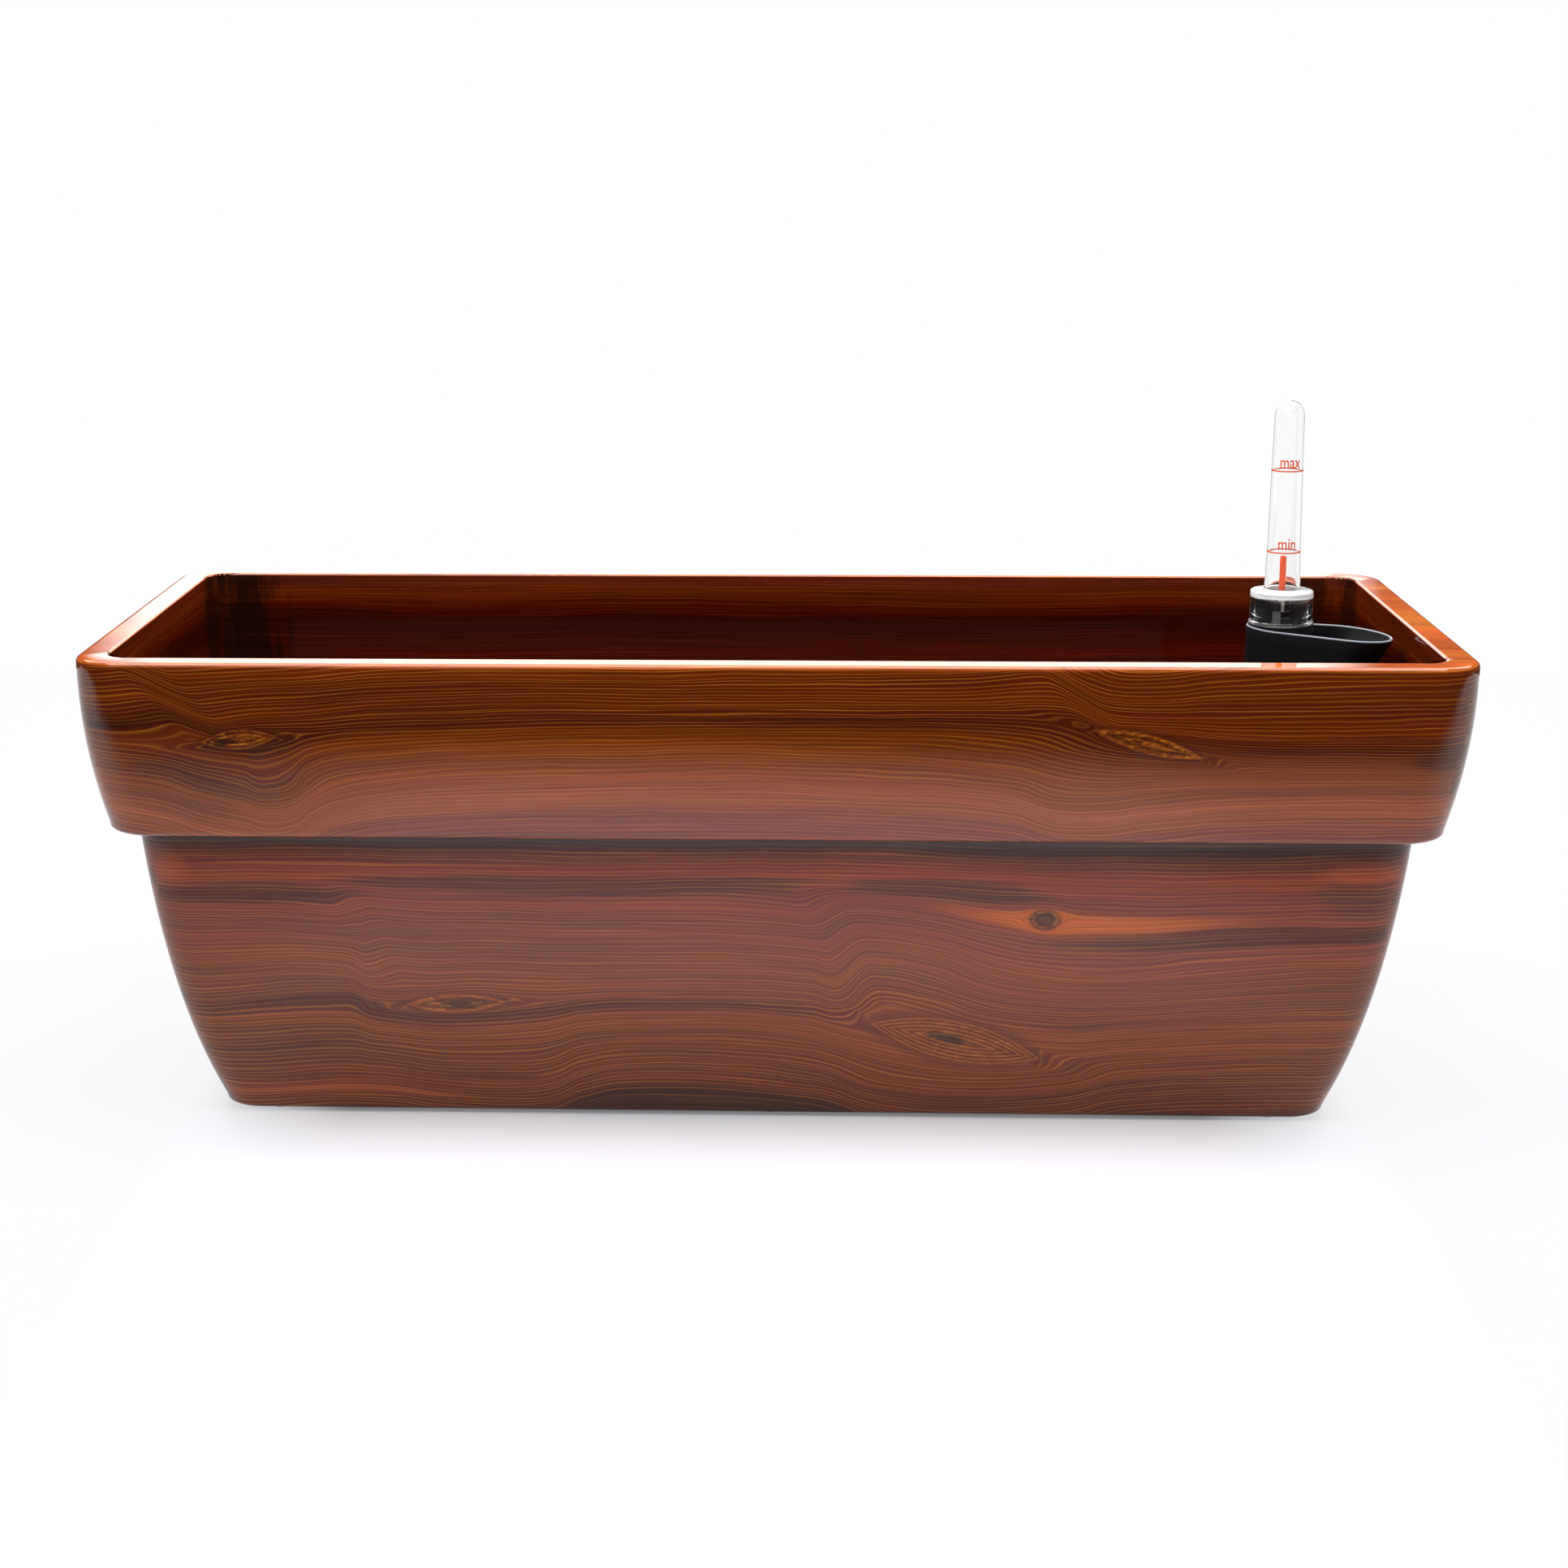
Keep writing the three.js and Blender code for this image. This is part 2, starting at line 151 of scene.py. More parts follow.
def roundedLoft(name, rings, half, cornerSteps, centre=(0, 0)):
    # rounded rectangles, each ring being (inset, height, corner radius)
    perCorner = cornerSteps + 1

    def outline(ring, step):
        inset, z, radius = ring
        quarter = step // perCorner
        angle = (quarter + (step % perCorner) / cornerSteps) * math.pi / 2
        sideX = 1 if quarter in (0, 3) else -1
        sideY = 1 if quarter < 2 else -1
        return (centre[0] + sideX * (half[0] - inset - radius) + radius * math.cos(angle),
                centre[1] + sideY * (half[1] - inset - radius) + radius * math.sin(angle), z)

    return ringLoft(name, rings, outline, 4 * perCorner)


def turnedPiece(name, rows, centre=(0, 0), segments=64):
    # rows of (radius, z) in mm; a profile that comes back to its first row closes on itself
    def outline(row, step):
        radius, angle = max(row[0], 0.01), math.tau * step / segments
        return (centre[0] + radius * math.cos(angle), centre[1] + radius * math.sin(angle), row[1])

    return ringLoft(name, rows, outline, segments, rows[0] == rows[-1])


def boxPiece(name, centre, size, turn=0, edge=0):
    place = [value * mm for value in centre]
    bpy.ops.mesh.primitive_cube_add(size=1, location=place, rotation=(0, 0, turn))
    piece = bpy.context.active_object
    piece.name = name
    piece.scale = [value * mm for value in size]
    applyPlace(piece)
    if edge:
        applyModifier(piece, "BEVEL", width=edge * mm, segments=3, limit_method="ANGLE")
    return piece


def rodPiece(name, centre, radius, bottom, top, segments=48):
    bpy.ops.mesh.primitive_cylinder_add(vertices=segments, radius=radius * mm, depth=(top - bottom) * mm,
                                        location=(centre[0] * mm, centre[1] * mm, (top + bottom) / 2 * mm))
    piece = bpy.context.active_object
    piece.name = name
    applyPlace(piece)
    return piece


def cutOrJoin(piece, tools, operation="DIFFERENCE"):
    # all the tools as one boolean, then they are gone
    onlyActive(tools[0])
    for tool in tools:
        tool.select_set(True)
    if len(tools) > 1:
        bpy.ops.object.join()
    tool = bpy.context.view_layer.objects.active
    applyModifier(piece, "BOOLEAN", operation=operation, object=tool, solver="EXACT", use_self=True)
    bpy.data.objects.remove(tool, do_unlink=True)


def softenEdges(piece, width, angle=35, segments=2):
    applyModifier(piece, "BEVEL", width=width * mm, segments=segments, limit_method="ANGLE",
                  angle_limit=math.radians(angle))


def copyOf(piece, name, offset):
    double = piece.copy()
    double.data = piece.data.copy()
    double.name = name
    scene.collection.objects.link(double)
    double.location = [value * mm for value in offset]
    applyPlace(double)
    double.select_set(False)
    return double


def settle(piece, body, node, material=None):
    if material:
        piece.data.materials.clear()
        piece.data.materials.append(material)
    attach(piece, body)
    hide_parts(node)


studio = {
    "cameraPlace": (0.0167, -1.7441, 0.5934),
    "yaw": -0.0407,
    "pitch": 0.2317,
    "roll": -0.0033,
    "lens": 65.5,
    "shiftX": 0.062,
    "sheet": (4.6, 1.3),
    "sheetMiddle": (0, 0.0),
    "fadeFrom": -0.30,
    "fadeTo": -0.74,
    "glowFront": 0.18,
    "glowSides": 0.93,
    "keyPower": 34,
    "fillStrength": 0.2,
    "rearPower": 60,
    "fillPower": 6,
    "panelLeft": -0.245,
    "panelRight": 0.192,
    "panelStrength": 2.4,
    "roomStrength": 0.06,
}


def placeCamera():
    cameraData = bpy.data.cameras.new("camera")
    camera = bpy.data.objects.new("camera", cameraData)
    scene.collection.objects.link(camera)
    yaw, pitch, roll = studio["yaw"], studio["pitch"], studio["roll"]
    ahead = Vector((math.sin(yaw) * math.cos(pitch), math.cos(yaw) * math.cos(pitch), -math.sin(pitch)))
    right = Vector((math.cos(yaw), -math.sin(yaw), 0))
    up = right.cross(ahead)
    turnedRight = right * math.cos(roll) + up * math.sin(roll)
    turnedUp = up * math.cos(roll) - right * math.sin(roll)
    place = Matrix((turnedRight, turnedUp, -ahead)).transposed().to_4x4()
    place.translation = Vector(studio["cameraPlace"])
    camera.matrix_world = place
    cameraData.lens = studio["lens"]
    cameraData.sensor_width = 36
    cameraData.shift_x = studio["shiftX"]
    scene.camera = camera


def makeFloor():
    bpy.ops.mesh.primitive_plane_add(size=2, location=(*studio["sheetMiddle"], -0.0004))
    floor = bpy.context.active_object
    floor.name = "paperSheet"
    floor.scale = (*studio["sheet"], 1)
    applyPlace(floor)
    # the sheet thins out towards the camera, so the lacquer mirrors no hard edge
    paper, add = newMaterial("white studio paper with painted glow")
    place = add("TexCoord")
    parts = add("SeparateXYZ", {0: place.outputs["Object"]})
    shown = add("MapRange", (parts.outputs[1], studio["fadeTo"], studio["fadeFrom"]),
                interpolation_type="SMOOTHSTEP")
    noise = add("TexNoise", {0: place.outputs["Object"], "Scale": 900.0, "Detail": 2.0})
    bump = add("Bump", {"Height": noise, "Strength": 0.02})
    matt = add("BsdfDiffuse", {"Color": linear("#f4f4fa"), "Normal": bump})
    # painted light: the paper glows a little in front and most at the two sides, lifting the shadow that
    # would fall there
    fromCentre = add("Math", (parts.outputs[0],), operation="ABSOLUTE")
    glow = add("MapRange", (fromCentre, 0.26, 0.36, studio["glowFront"], studio["glowSides"]))
    lit = add("Emission", {"Color": linear("#fafafd")})
    shader = add("MixShader", {0: glow, 1: matt, 2: lit})
    clear = add("BsdfTransparent")
    add("OutputMaterial", (add("MixShader", {0: shown, 1: clear, 2: shader}),))
    floor.data.materials.append(paper)


def makeLights():
    # white behind the object for the eye; in reflections one bright panel at the back and a dim room
    world = bpy.data.worlds.new("studio")
    scene.world = world
    world.use_nodes = True
    world.node_tree.nodes.clear()
    add = functools.partial(addNode, world.node_tree)
    direction = add("TexCoord")
    parts = add("SeparateXYZ", {0: direction.outputs["Generated"]})
    sideways = add("Math", (parts.outputs[0], parts.outputs[1]), operation="DIVIDE")
    behind = add("Math", (parts.outputs[1], 0.3), operation="GREATER_THAN")
    left, right = studio["panelLeft"], studio["panelRight"]
    fromLeft = add("MapRange", (sideways, left - 0.012, left + 0.012))
    fromRight = add("MapRange", (sideways, right + 0.012, right - 0.012))
    across = add("Math", (fromLeft, fromRight), operation="MULTIPLY")
    panel = add("Math", (across, behind), operation="MULTIPLY")
    above = add("MapRange", (parts.outputs[2], 0.0, 0.06))
    low = add("MapRange", (parts.outputs[2], 0.5, 0.35))
    height = add("Math", (above, low), operation="MULTIPLY")
    lit = add("Math", (panel, height), operation="MULTIPLY")
    strength = add("MapRange", (lit, 0.0, 1.0, studio["roomStrength"], studio["panelStrength"]))
    lightPath = add("LightPath")
    straight = add("Math", (lightPath.outputs["Is Camera Ray"], lightPath.outputs["Is Transmission Ray"]),
                   operation="MAXIMUM")
    filled = add("Mix", {0: lightPath.outputs["Is Diffuse Ray"], 2: strength, 3: studio["fillStrength"]},
                 data_type="FLOAT")
    seen = add("Mix", {0: straight, 2: filled, 3: 1.0}, data_type="FLOAT")
    background = add("Background", {"Color": (1, 1, 1, 1), "Strength": seen})
    add("OutputWorld", {0: background})
    for name, place, size, power, target in (
        ("overheadSoftbox", (0.0, -0.25, 1.35), (1.7, 0.9), studio["keyPower"], (0, -0.2, 0)),
        ("rearSoftbox", (0.0, 1.5, 1.6), (3.4, 1.6), studio["rearPower"], (0, 1.5, 0)),
        ("frontFill", (-0.8, -2.2, 1.7), (1.4, 0.9), studio["fillPower"], (0, 0, 0.15)),
    ):
        lightData = bpy.data.lights.new(name, "AREA")
        lightData.shape = "RECTANGLE"
        lightData.size, lightData.size_y = size
        lightData.energy = power
        light = bpy.data.objects.new(name, lightData)
        scene.collection.objects.link(light)
        light.location = place
        light.rotation_euler = (Vector(target) - Vector(place)).to_track_quat("-Z", "Y").to_euler()
        light.visible_camera = False


placeCamera()
makeFloor()
makeLights()
print("studio ready")


# Grain of each face of the trough, mm. Places are along the wall from its middle, and heights.
# levels and curves: how far the lines are lifted along the wall, at three heights.
# steps: leaning creases. knots: half sizes, tilt in degrees and how far they push the lines apart.
# patches: smoky streaks, or painted shade on one face. edge: a painted highlight tone at the rim, a painted
# shadow tone at the base.
bandGrain = {
    # painted highlight: the rim top is given a lighter orange for the light that falls on it
    "edge": {"from": 286.6, "to": 289.4, "colour": "#b4521d"},
    "levels": (215, 250, 282),
    "curves": (
        [(-400, 2), (-372, 1), (-326, -11), (-300, -17), (-289, -20), (-265, -10), (-246, -2), (-208, 4),
         (-115, 10), (-23, 11), (69, 8), (138, 2), (175, -6), (216, -2), (275, 3), (400, 4)],
        [(-400, 2), (-347, 0), (-286, 0), (-230, 5), (-161, 9), (-92, 11), (-23, 12), (69, 10), (137, 6),
         (183, -1), (228, -7), (274, -11), (400, -11)],
        [(-400, 0), (-368, 0), (-299, -4), (-206, 0), (-23, 3), (136, 2), (173, -2), (215, -12), (250, -9),
         (340, -5), (400, -5)],
    ),
    "steps": [
        dict(along=-338, height=267, lean=-0.94, width=15, rise=-17, low=240, high=300),
        dict(along=178, height=266, lean=-0.75, width=13, rise=-14, low=242, high=300),
    ],
    "knots": [
        dict(along=-303, height=245.5, half=(22, 6), tilt=5, push=7,
             core=(-0.42, -0.1), coreSize=0.4, rings=14, mottle=0.8, ball=False),
        dict(along=213, height=245.5, half=(34, 6), tilt=-15, push=8,
             core=(-0.2, 0), coreSize=0.12, rings=9, mottle=0.85, ball=False),
    ],
    "patches": [
        dict(along=-340, height=221, half=(36, 17), colour="#5a1c16", strength=0.55, soft=0.9),
        dict(along=-318, height=236, half=(50, 5), colour="#52160c", strength=0.5, soft=0.8),
        dict(along=385, height=240, half=(26, 7), colour="#52160c", strength=0.8, soft=0.7),
    ],
    "tones": [(185, "#8a4038"), (192, "#92432e"), (200, "#a85228"), (206, "#aa522a"), (214, "#96441c"),
              (221, "#944412"), (228, "#8a3e0a"), (235, "#823806"), (242, "#722e04"), (247, "#561c04"),
              (252, "#521a02"), (257, "#621e02"), (265, "#6c2602"), (272, "#662002"), (282, "#672402"),
              (290, "#6c2602")],
}
bodyGrain = {
    # painted shadow: a dark line along the base where it meets the floor
    "edge": {"from": 4.2, "to": 1.6, "colour": "#160704"},
    "levels": (28, 100, 160),
    "curves": (
        [(-400, -6), (-319, -6), (-245, -2), (-191, -7), (-147, -7), (-112, 5), (-73, 11), (25, 4),
         (74, -10), (120, -12), (171, -9), (219, 1), (334, 5), (400, 5)],
        [(-400, 5), (-346, 5), (-254, 10), (-240, 2), (-216, -2), (-170, 1), (-119, 2), (24, 5), (38, 1),
         (63, 6), (90, 3), (153, -14), (191, -15), (262, -9), (333, -5), (400, -5)],
        [(-400, 0), (-240, 0), (24, 0), (150, -3), (400, 0)],
    ),
    "steps": [
        dict(along=-236, height=112, lean=-0.35, width=13.6, rise=10, low=84, high=154),
        dict(along=42, height=112, lean=-0.35, width=15.3, rise=14, low=66, high=156),
    ],
    "knots": [
        dict(along=-187, height=76.5, half=(31, 6.5), tilt=2, push=7,
             core=(0.05, 0), coreSize=0.42, rings=8, mottle=0.7, ball=False),
        dict(along=110, height=54, half=(54, 14.5), tilt=-13, push=12,
             core=(-0.08, 0.04), coreSize=0.24, rings=36, mottle=0.35, ball=False),
        dict(along=160, height=134, half=(9, 6.5), tilt=0, push=5,
             core=(0, 0), coreSize=0.8, rings=12, mottle=0.8, ball=True),
    ],
    "patches": [
        dict(along=-110, height=154.5, half=(140, 6.5), colour="#52160c", strength=0.85, soft=0.35),
        dict(along=100, height=153, half=(60, 8), colour="#52160c", strength=0.8, soft=0.4),
        dict(along=-310, height=147, half=(66, 6.5), colour="#52160c", strength=0.85, soft=0.6),
        dict(along=290, height=129, half=(120, 6), colour="#52160c", strength=0.8, soft=0.6),
        dict(along=-150, height=71, half=(235, 5), colour="#52160c", strength=0.8, soft=0.5),
        dict(along=-30, height=3, half=(150, 9), colour="#34100a", strength=0.8, soft=0.8),
        dict(along=-310, height=45, half=(70, 13), colour="#5c1e14", strength=0.4, soft=0.9),
        dict(along=340, height=152, half=(22, 12), colour="#521812", strength=0.6, soft=0.9),
        dict(along=345, height=165, half=(26, 5), colour="#c4561c", strength=0.6, soft=0.9),
        dict(along=-352, height=163, half=(10, 7), colour="#c85a1c", strength=0.45, soft=1.0),
        dict(along=190, height=139, half=(80, 4.5), colour="#d8641c", strength=0.75, soft=1.0),
        dict(along=-265, height=19, half=(75, 2), colour="#a04a1c", strength=0.8, soft=0.8),
    ],
    # painted shade: the tones darken at the top, under the band's overhang
    "tones": [(0, "#4c160a"), (6, "#66220a"), (12, "#702a08"), (20, "#6b2808"), (32, "#682808"),
              (43, "#722f08"), (57, "#7d3712"), (68, "#7f3a1c"), (80, "#783520"), (92, "#7e3a22"),
              (106, "#823a22"), (119, "#863a28"), (129, "#7e3726"), (140, "#873726"), (150, "#863228"),
              (157, "#9a3a1e"), (165, "#882c14"), (171, "#70200e"), (178, "#3a1009"), (185, "#2c0c08")],
}
insideGrain = {
    "levels": (100, 200, 280),
    "curves": (
        [(-400, 0), (400, 0)],
        [(-400, 0), (-200, 2), (200, -2), (400, 0)],
        [(-400, 0), (0, 1), (400, 0)],
    ),
    "steps": [],
    "knots": [],
    # painted shade: dark smears in the four inner back corners
    "patches": [
        dict(along=384, height=250, half=(24, 70), colour="#180804", strength=0.9, soft=0.9, face=1),
        dict(along=-322, height=250, half=(24, 60), colour="#1c0a05", strength=0.8, soft=0.9, face=1),
        dict(along=214, height=250, half=(22, 70), colour="#1a0904", strength=0.8, soft=0.9, face=4),
        dict(along=20, height=250, half=(22, 70), colour="#1c0a05", strength=0.7, soft=0.9, face=5),
    ],
    # painted shade: the lining darkens deeper into the trough
    "tones": [(0, "#200a05"), (120, "#220a05"), (215, "#341004"), (235, "#400801"), (240, "#430901"),
              (246, "#3b0601"), (251, "#340401"), (257, "#2f0504"), (262, "#380701"), (268, "#480e01"),
              (273, "#561a01"), (279, "#581e01"), (284, "#521704"), (290, "#521704")],
}


# The printed film, mm: how it lies on the walls, how its lines wander, its streaks and its thin lines.
film = {
    "seam": 243.0, "seamWaver": 26.0, "seamScale": 0.03,
    "endMiddle": 60.0, "endShift": -190.0, "backMiddle": 25.0, "faceSeed": 57.0,
    "wallHalf": 400.0, "liftSpan": 60.0, "creaseEnd": 14.0, "creaseReach": 40.0,
    "knotFade": -0.55, "knotTurn": 0.4, "fray": 5.0, "patchFray": 0.9, "smearFray": 3.0, "smearSize": (7, 60),
    # length, height, detail, roughness, amount
    "wobbles": ((190, 60, 2.0, 0.45, 9.0), (42, 14, 1.0, 0.5, 1.6)),
    # length, width, detail, roughness, then the noise range and the gain it gives
    "streaks": {
        "broad": (420, 9, 3.0, 0.6, (0.3, 0.7, 0.72, 1.25)),
        "medium": (260, 2.6, 2.0, 0.6, (0.3, 0.7, 0.8, 1.18)),
        "thread": (150, 1.2, 2.0, 0.7, (0.3, 0.7, 0.74, 1.3)),
        "speck": (7, 1.1, 3.0, 0.7, (0.35, 0.7, 0.95, 1.06)),
    },
    "goldLines": {"spacing": 2.3, "bend": 3.0, "streak": "broad", "colour": "#c47820"},
    "darkLines": {"spacing": 1.7, "bend": 2.4, "streak": "medium", "colour": "#4a160a", "share": 0.4},
}
knotFibre = {
    "size": (9, 2.2), "colour": "#8c4814", "heart": "#2c120c", "seam": "#4a1a0e",
    "stops": [(0, "#40180a"), (0.42, "#5c240c"), (0.52, "#944a12"), (0.62, "#c47a20"), (1, "#dc9828")],
}


def fillRamp(ramp, stops):
    # stops of (place from 0 to 1, colour)
    elements = ramp.color_ramp.elements
    while len(elements) < len(stops):
        elements.new(0.5)
    for element, (place, hexColour) in zip(elements, stops):
        element.position = place
        element.color = linear(hexColour)


def wallPlace(add, inMm, seed):
    # the film is laid face by face, and its seam runs raggedly down each corner
    x, y, z = add("SeparateXYZ", (inMm,)).outputs
    farX = add("Math", (x,), operation="ABSOLUTE")
    farY = add("Math", (y,), operation="ABSOLUTE")
    cornerSide = add("Math", (farX, farY), operation="SUBTRACT")
    seamNoise = add("TexNoise", {0: inMm, "Scale": film["seamScale"], "Detail": 3.0})
    ragged = add("Math", (seamNoise, film["seamWaver"], cornerSide), operation="MULTIPLY_ADD")
    onEnd = add("Math", (ragged, film["seam"]), operation="GREATER_THAN")
    back = add("Math", (y, 0.0), operation="GREATER_THAN")
    right = add("Math", (x, 0.0), operation="GREATER_THAN")
    fromMiddle = add("Math", (y, film["endMiddle"]), operation="ADD")
    alongEnd = add("Math", (right, film["endShift"], fromMiddle), operation="MULTIPLY_ADD")
    alongBack = add("Math", (film["backMiddle"], x), operation="SUBTRACT")
    alongWall = add("Mix", {0: back, 2: x, 3: alongBack}, data_type="FLOAT")
    along = add("Mix", {0: onEnd, 2: alongWall, 3: alongEnd}, data_type="FLOAT")
    # front 0, back 1, left end 4, right end 5
    endNumber = add("Math", (right, 4.0), operation="ADD")
    face = add("Mix", {0: onEnd, 2: back, 3: endNumber}, data_type="FLOAT")
    seedNumber = add("Math", (face, film["faceSeed"], float(seed)), operation="MULTIPLY_ADD")
    return along, z, face, seedNumber


def wallLift(add, grain, along, z):
    # how far the lines are lifted: three curves along the wall, blended up its height
    half, span = film["wallHalf"], film["liftSpan"]
    share = add("MapRange", (along, -half, half))
    lifts = []
    for points in grain["curves"]:
        curve = add("FloatCurve", {"Value": share})
        line = curve.mapping.curves[0]
        while len(line.points) < len(points):
            line.points.new(0.5, 0.5)
        for dot, (place, height) in zip(line.points, points):
            dot.location = ((place + half) / (2 * half), height / span + 0.5)
        curve.mapping.update()
        lifts.append(add("Math", (curve, span, -span / 2), operation="MULTIPLY_ADD"))
    low, middle, high = [float(level) for level in grain["levels"]]
    lowerPart = add("MapRange", (z, low, middle))
    upperPart = add("MapRange", (z, middle, high))
    lowerLift = add("Mix", {0: lowerPart, 2: lifts[0], 3: lifts[1]}, data_type="FLOAT")
    lift = add("Mix", {0: upperPart, 2: lowerLift, 3: lifts[2]}, data_type="FLOAT")
    for step in grain["steps"]:
        # a leaning crease where the lines drop or climb
        lean, width, rise = step["lean"], step["width"], step["rise"]
        leaning = add("Math", (z, -lean, step["height"] * lean - step["along"]), operation="MULTIPLY_ADD")
        across = add("Math", (along, leaning), operation="ADD")
        climb = add("MapRange", (across, -width, width, -rise / 2, rise / 2),
                    interpolation_type="SMOOTHSTEP")
        rising = add("MapRange", (z, step["low"], step["low"] + film["creaseEnd"]))
        falling = add("MapRange", (z, step["high"], step["high"] - film["creaseEnd"]))
        far = add("Math", (across, 1 / film["creaseReach"]), operation="MULTIPLY")
        thinning = add("Math", (far, far, 1.0), operation="MULTIPLY_ADD")
        amount = add("Math", (climb, thinning), operation="DIVIDE")
        amount = add("Math", (amount, rising), operation="MULTIPLY")
        lift = add("Math", (amount, falling, lift), operation="MULTIPLY_ADD")
    return lift


def knotPlace(add, knot, wallVector):
    # across and up in half sizes of the knot, and its lens shape with 1 at the edge
    spot = add("Mapping", {"Vector": wallVector, "Location": (knot["along"], knot["height"], 0),
                           "Rotation": (0, 0, math.radians(knot["tilt"])), "Scale": (*knot["half"], 1)},
               vector_type="TEXTURE")
    across, upward, _ = add("SeparateXYZ", (spot,)).outputs
    height = add("Math", (upward,), operation="ABSOLUTE")
    if knot["ball"]:
        height = add("Math", (height, height), operation="MULTIPLY")
    lens = add("Math", (across, across, height), operation="MULTIPLY_ADD")
    return across, upward, lens


def paintPatch(add, colour, patch, grainVector, wallVector, face, medium):
    # a smoky streak frayed along the grain, or painted shade on one face frayed upright
    soft = patch["soft"] / 2
    spot = add("Mapping", {"Vector": grainVector, "Location": (patch["along"], patch["height"], 0),
                           "Scale": (*patch["half"], 1)}, vector_type="TEXTURE")
    flat = add("VectorMath", (spot, (1, 1, 0)), operation="MULTIPLY")
    size = add("VectorMath", (flat,), operation="LENGTH").outputs["Value"]
    edge, fray = medium, film["patchFray"]
    if "face" in patch:
        width, height = film["smearSize"]
        tall = add("Mapping", {"Vector": wallVector, "Scale": (1 / width, 1 / height, 1)})
        edge = add("TexNoise", {0: tall, "Scale": 1.0, "Detail": 3.0, "Roughness": 0.65})
        fray = film["smearFray"]
    frayed = add("Math", (edge, fray, -fray / 2), operation="MULTIPLY_ADD")
    rough = add("Math", (size, frayed), operation="ADD")
    mask = add("MapRange", (rough, 1 + soft, 1 - soft, 0.0, patch["strength"]),
               interpolation_type="SMOOTHSTEP")
    if "face" in patch:
        onFace = add("Math", (face, float(patch["face"]), 0.1), operation="COMPARE")
        mask = add("Math", (mask, onFace), operation="MULTIPLY")
    return add("Mix", {0: mask, 6: colour, 7: linear(patch["colour"])}, data_type="RGBA").outputs[2]


def paintLines(add, colour, lines, share, level, streaks):
    # thin lines close together along the grain, fewer of them where the wood is dark
    inLines = add("Math", (level, 1 / lines["spacing"]), operation="MULTIPLY")
    bent = add("Math", (streaks[lines["streak"]], lines["bend"], inLines), operation="MULTIPLY_ADD")
    part = add("Math", (bent,), operation="FRACT")
    centred = add("Math", (part, 0.5), operation="SUBTRACT")
    fromMiddle = add("Math", (centred,), operation="ABSOLUTE")
    line = add("MapRange", (fromMiddle, 0.24, 0.04, 0.0, share))
    strong = add("MapRange", (streaks["thread"], 0.3, 0.6, 0.25))
    redPart = add("VectorMath", (colour, (1, 0, 0)), operation="DOT_PRODUCT").outputs["Value"]
    onLight = add("MapRange", (redPart, 0.015, 0.13, 0.12))
    mask = add("Math", (line, strong), operation="MULTIPLY")
    mask = add("Math", (mask, onLight), operation="MULTIPLY")
    return add("Mix", {0: mask, 6: colour, 7: linear(lines["colour"])}, data_type="RGBA").outputs[2]


def paintKnot(add, colour, knot, wallVector, across, upward, lens):
    # mottled golden fibre with rings, a fuzzy dark heart and a dark seam round it
    width, height = knotFibre["size"]
    swirlPlace = add("Mapping", {"Vector": wallVector, "Scale": (1 / width, 1 / height, 1)})
    swirl = add("TexNoise", {0: swirlPlace, "Scale": 1.0, "Detail": 5.0, "Roughness": 0.75,
                             "Distortion": 1.2})
    fibre = add("ValToRGB", (swirl,))
    fillRamp(fibre, knotFibre["stops"])
    mottled = add("Mix", {0: knot["mottle"], 6: linear(knotFibre["colour"]), 7: fibre}, data_type="RGBA")
    shift = add("Math", (swirl, 2.0), operation="MULTIPLY")
    phase = add("Math", (lens, float(knot["rings"]), shift), operation="MULTIPLY_ADD")
    rings = add("Math", (phase,), operation="SINE")
    ringGain = add("MapRange", (rings, -1.0, 1.0, 0.42, 1.45))
    fibreColour = add("VectorMath", {0: mottled.outputs[2], "Scale": ringGain}, operation="SCALE")
    coreX, coreY = knot["core"]
    offX = add("Math", (across, coreX), operation="SUBTRACT")
    offY = add("Math", (upward, coreY), operation="SUBTRACT")
    squareY = add("Math", (offY, offY), operation="MULTIPLY")
    square = add("Math", (offX, offX, squareY), operation="MULTIPLY_ADD")
    distance = add("Math", (square,), operation="SQRT")
    rough = add("Math", (swirl, 0.5, -0.25), operation="MULTIPLY_ADD")
    ragged = add("Math", (distance, rough), operation="ADD")
    size = knot["coreSize"]
    heart = add("MapRange", (ragged, size * 1.15, size * 0.5, 0.0, 0.85))
    knotColour = add("Mix", {0: heart, 6: fibreColour, 7: linear(knotFibre["heart"])},
                     data_type="RGBA").outputs[2]
    fuzzy = add("Math", (lens, rough), operation="ADD")
    seam = add("MapRange", (fuzzy, 1.5, 1.05, 0.0, 0.45))
    colour = add("Mix", {0: seam, 6: colour, 7: linear(knotFibre["seam"])}, data_type="RGBA").outputs[2]
    within = add("MapRange", (fuzzy, 1.06, 0.86, 0.0, 0.88))
    return add("Mix", {0: within, 6: colour, 7: knotColour}, data_type="RGBA").outputs[2]


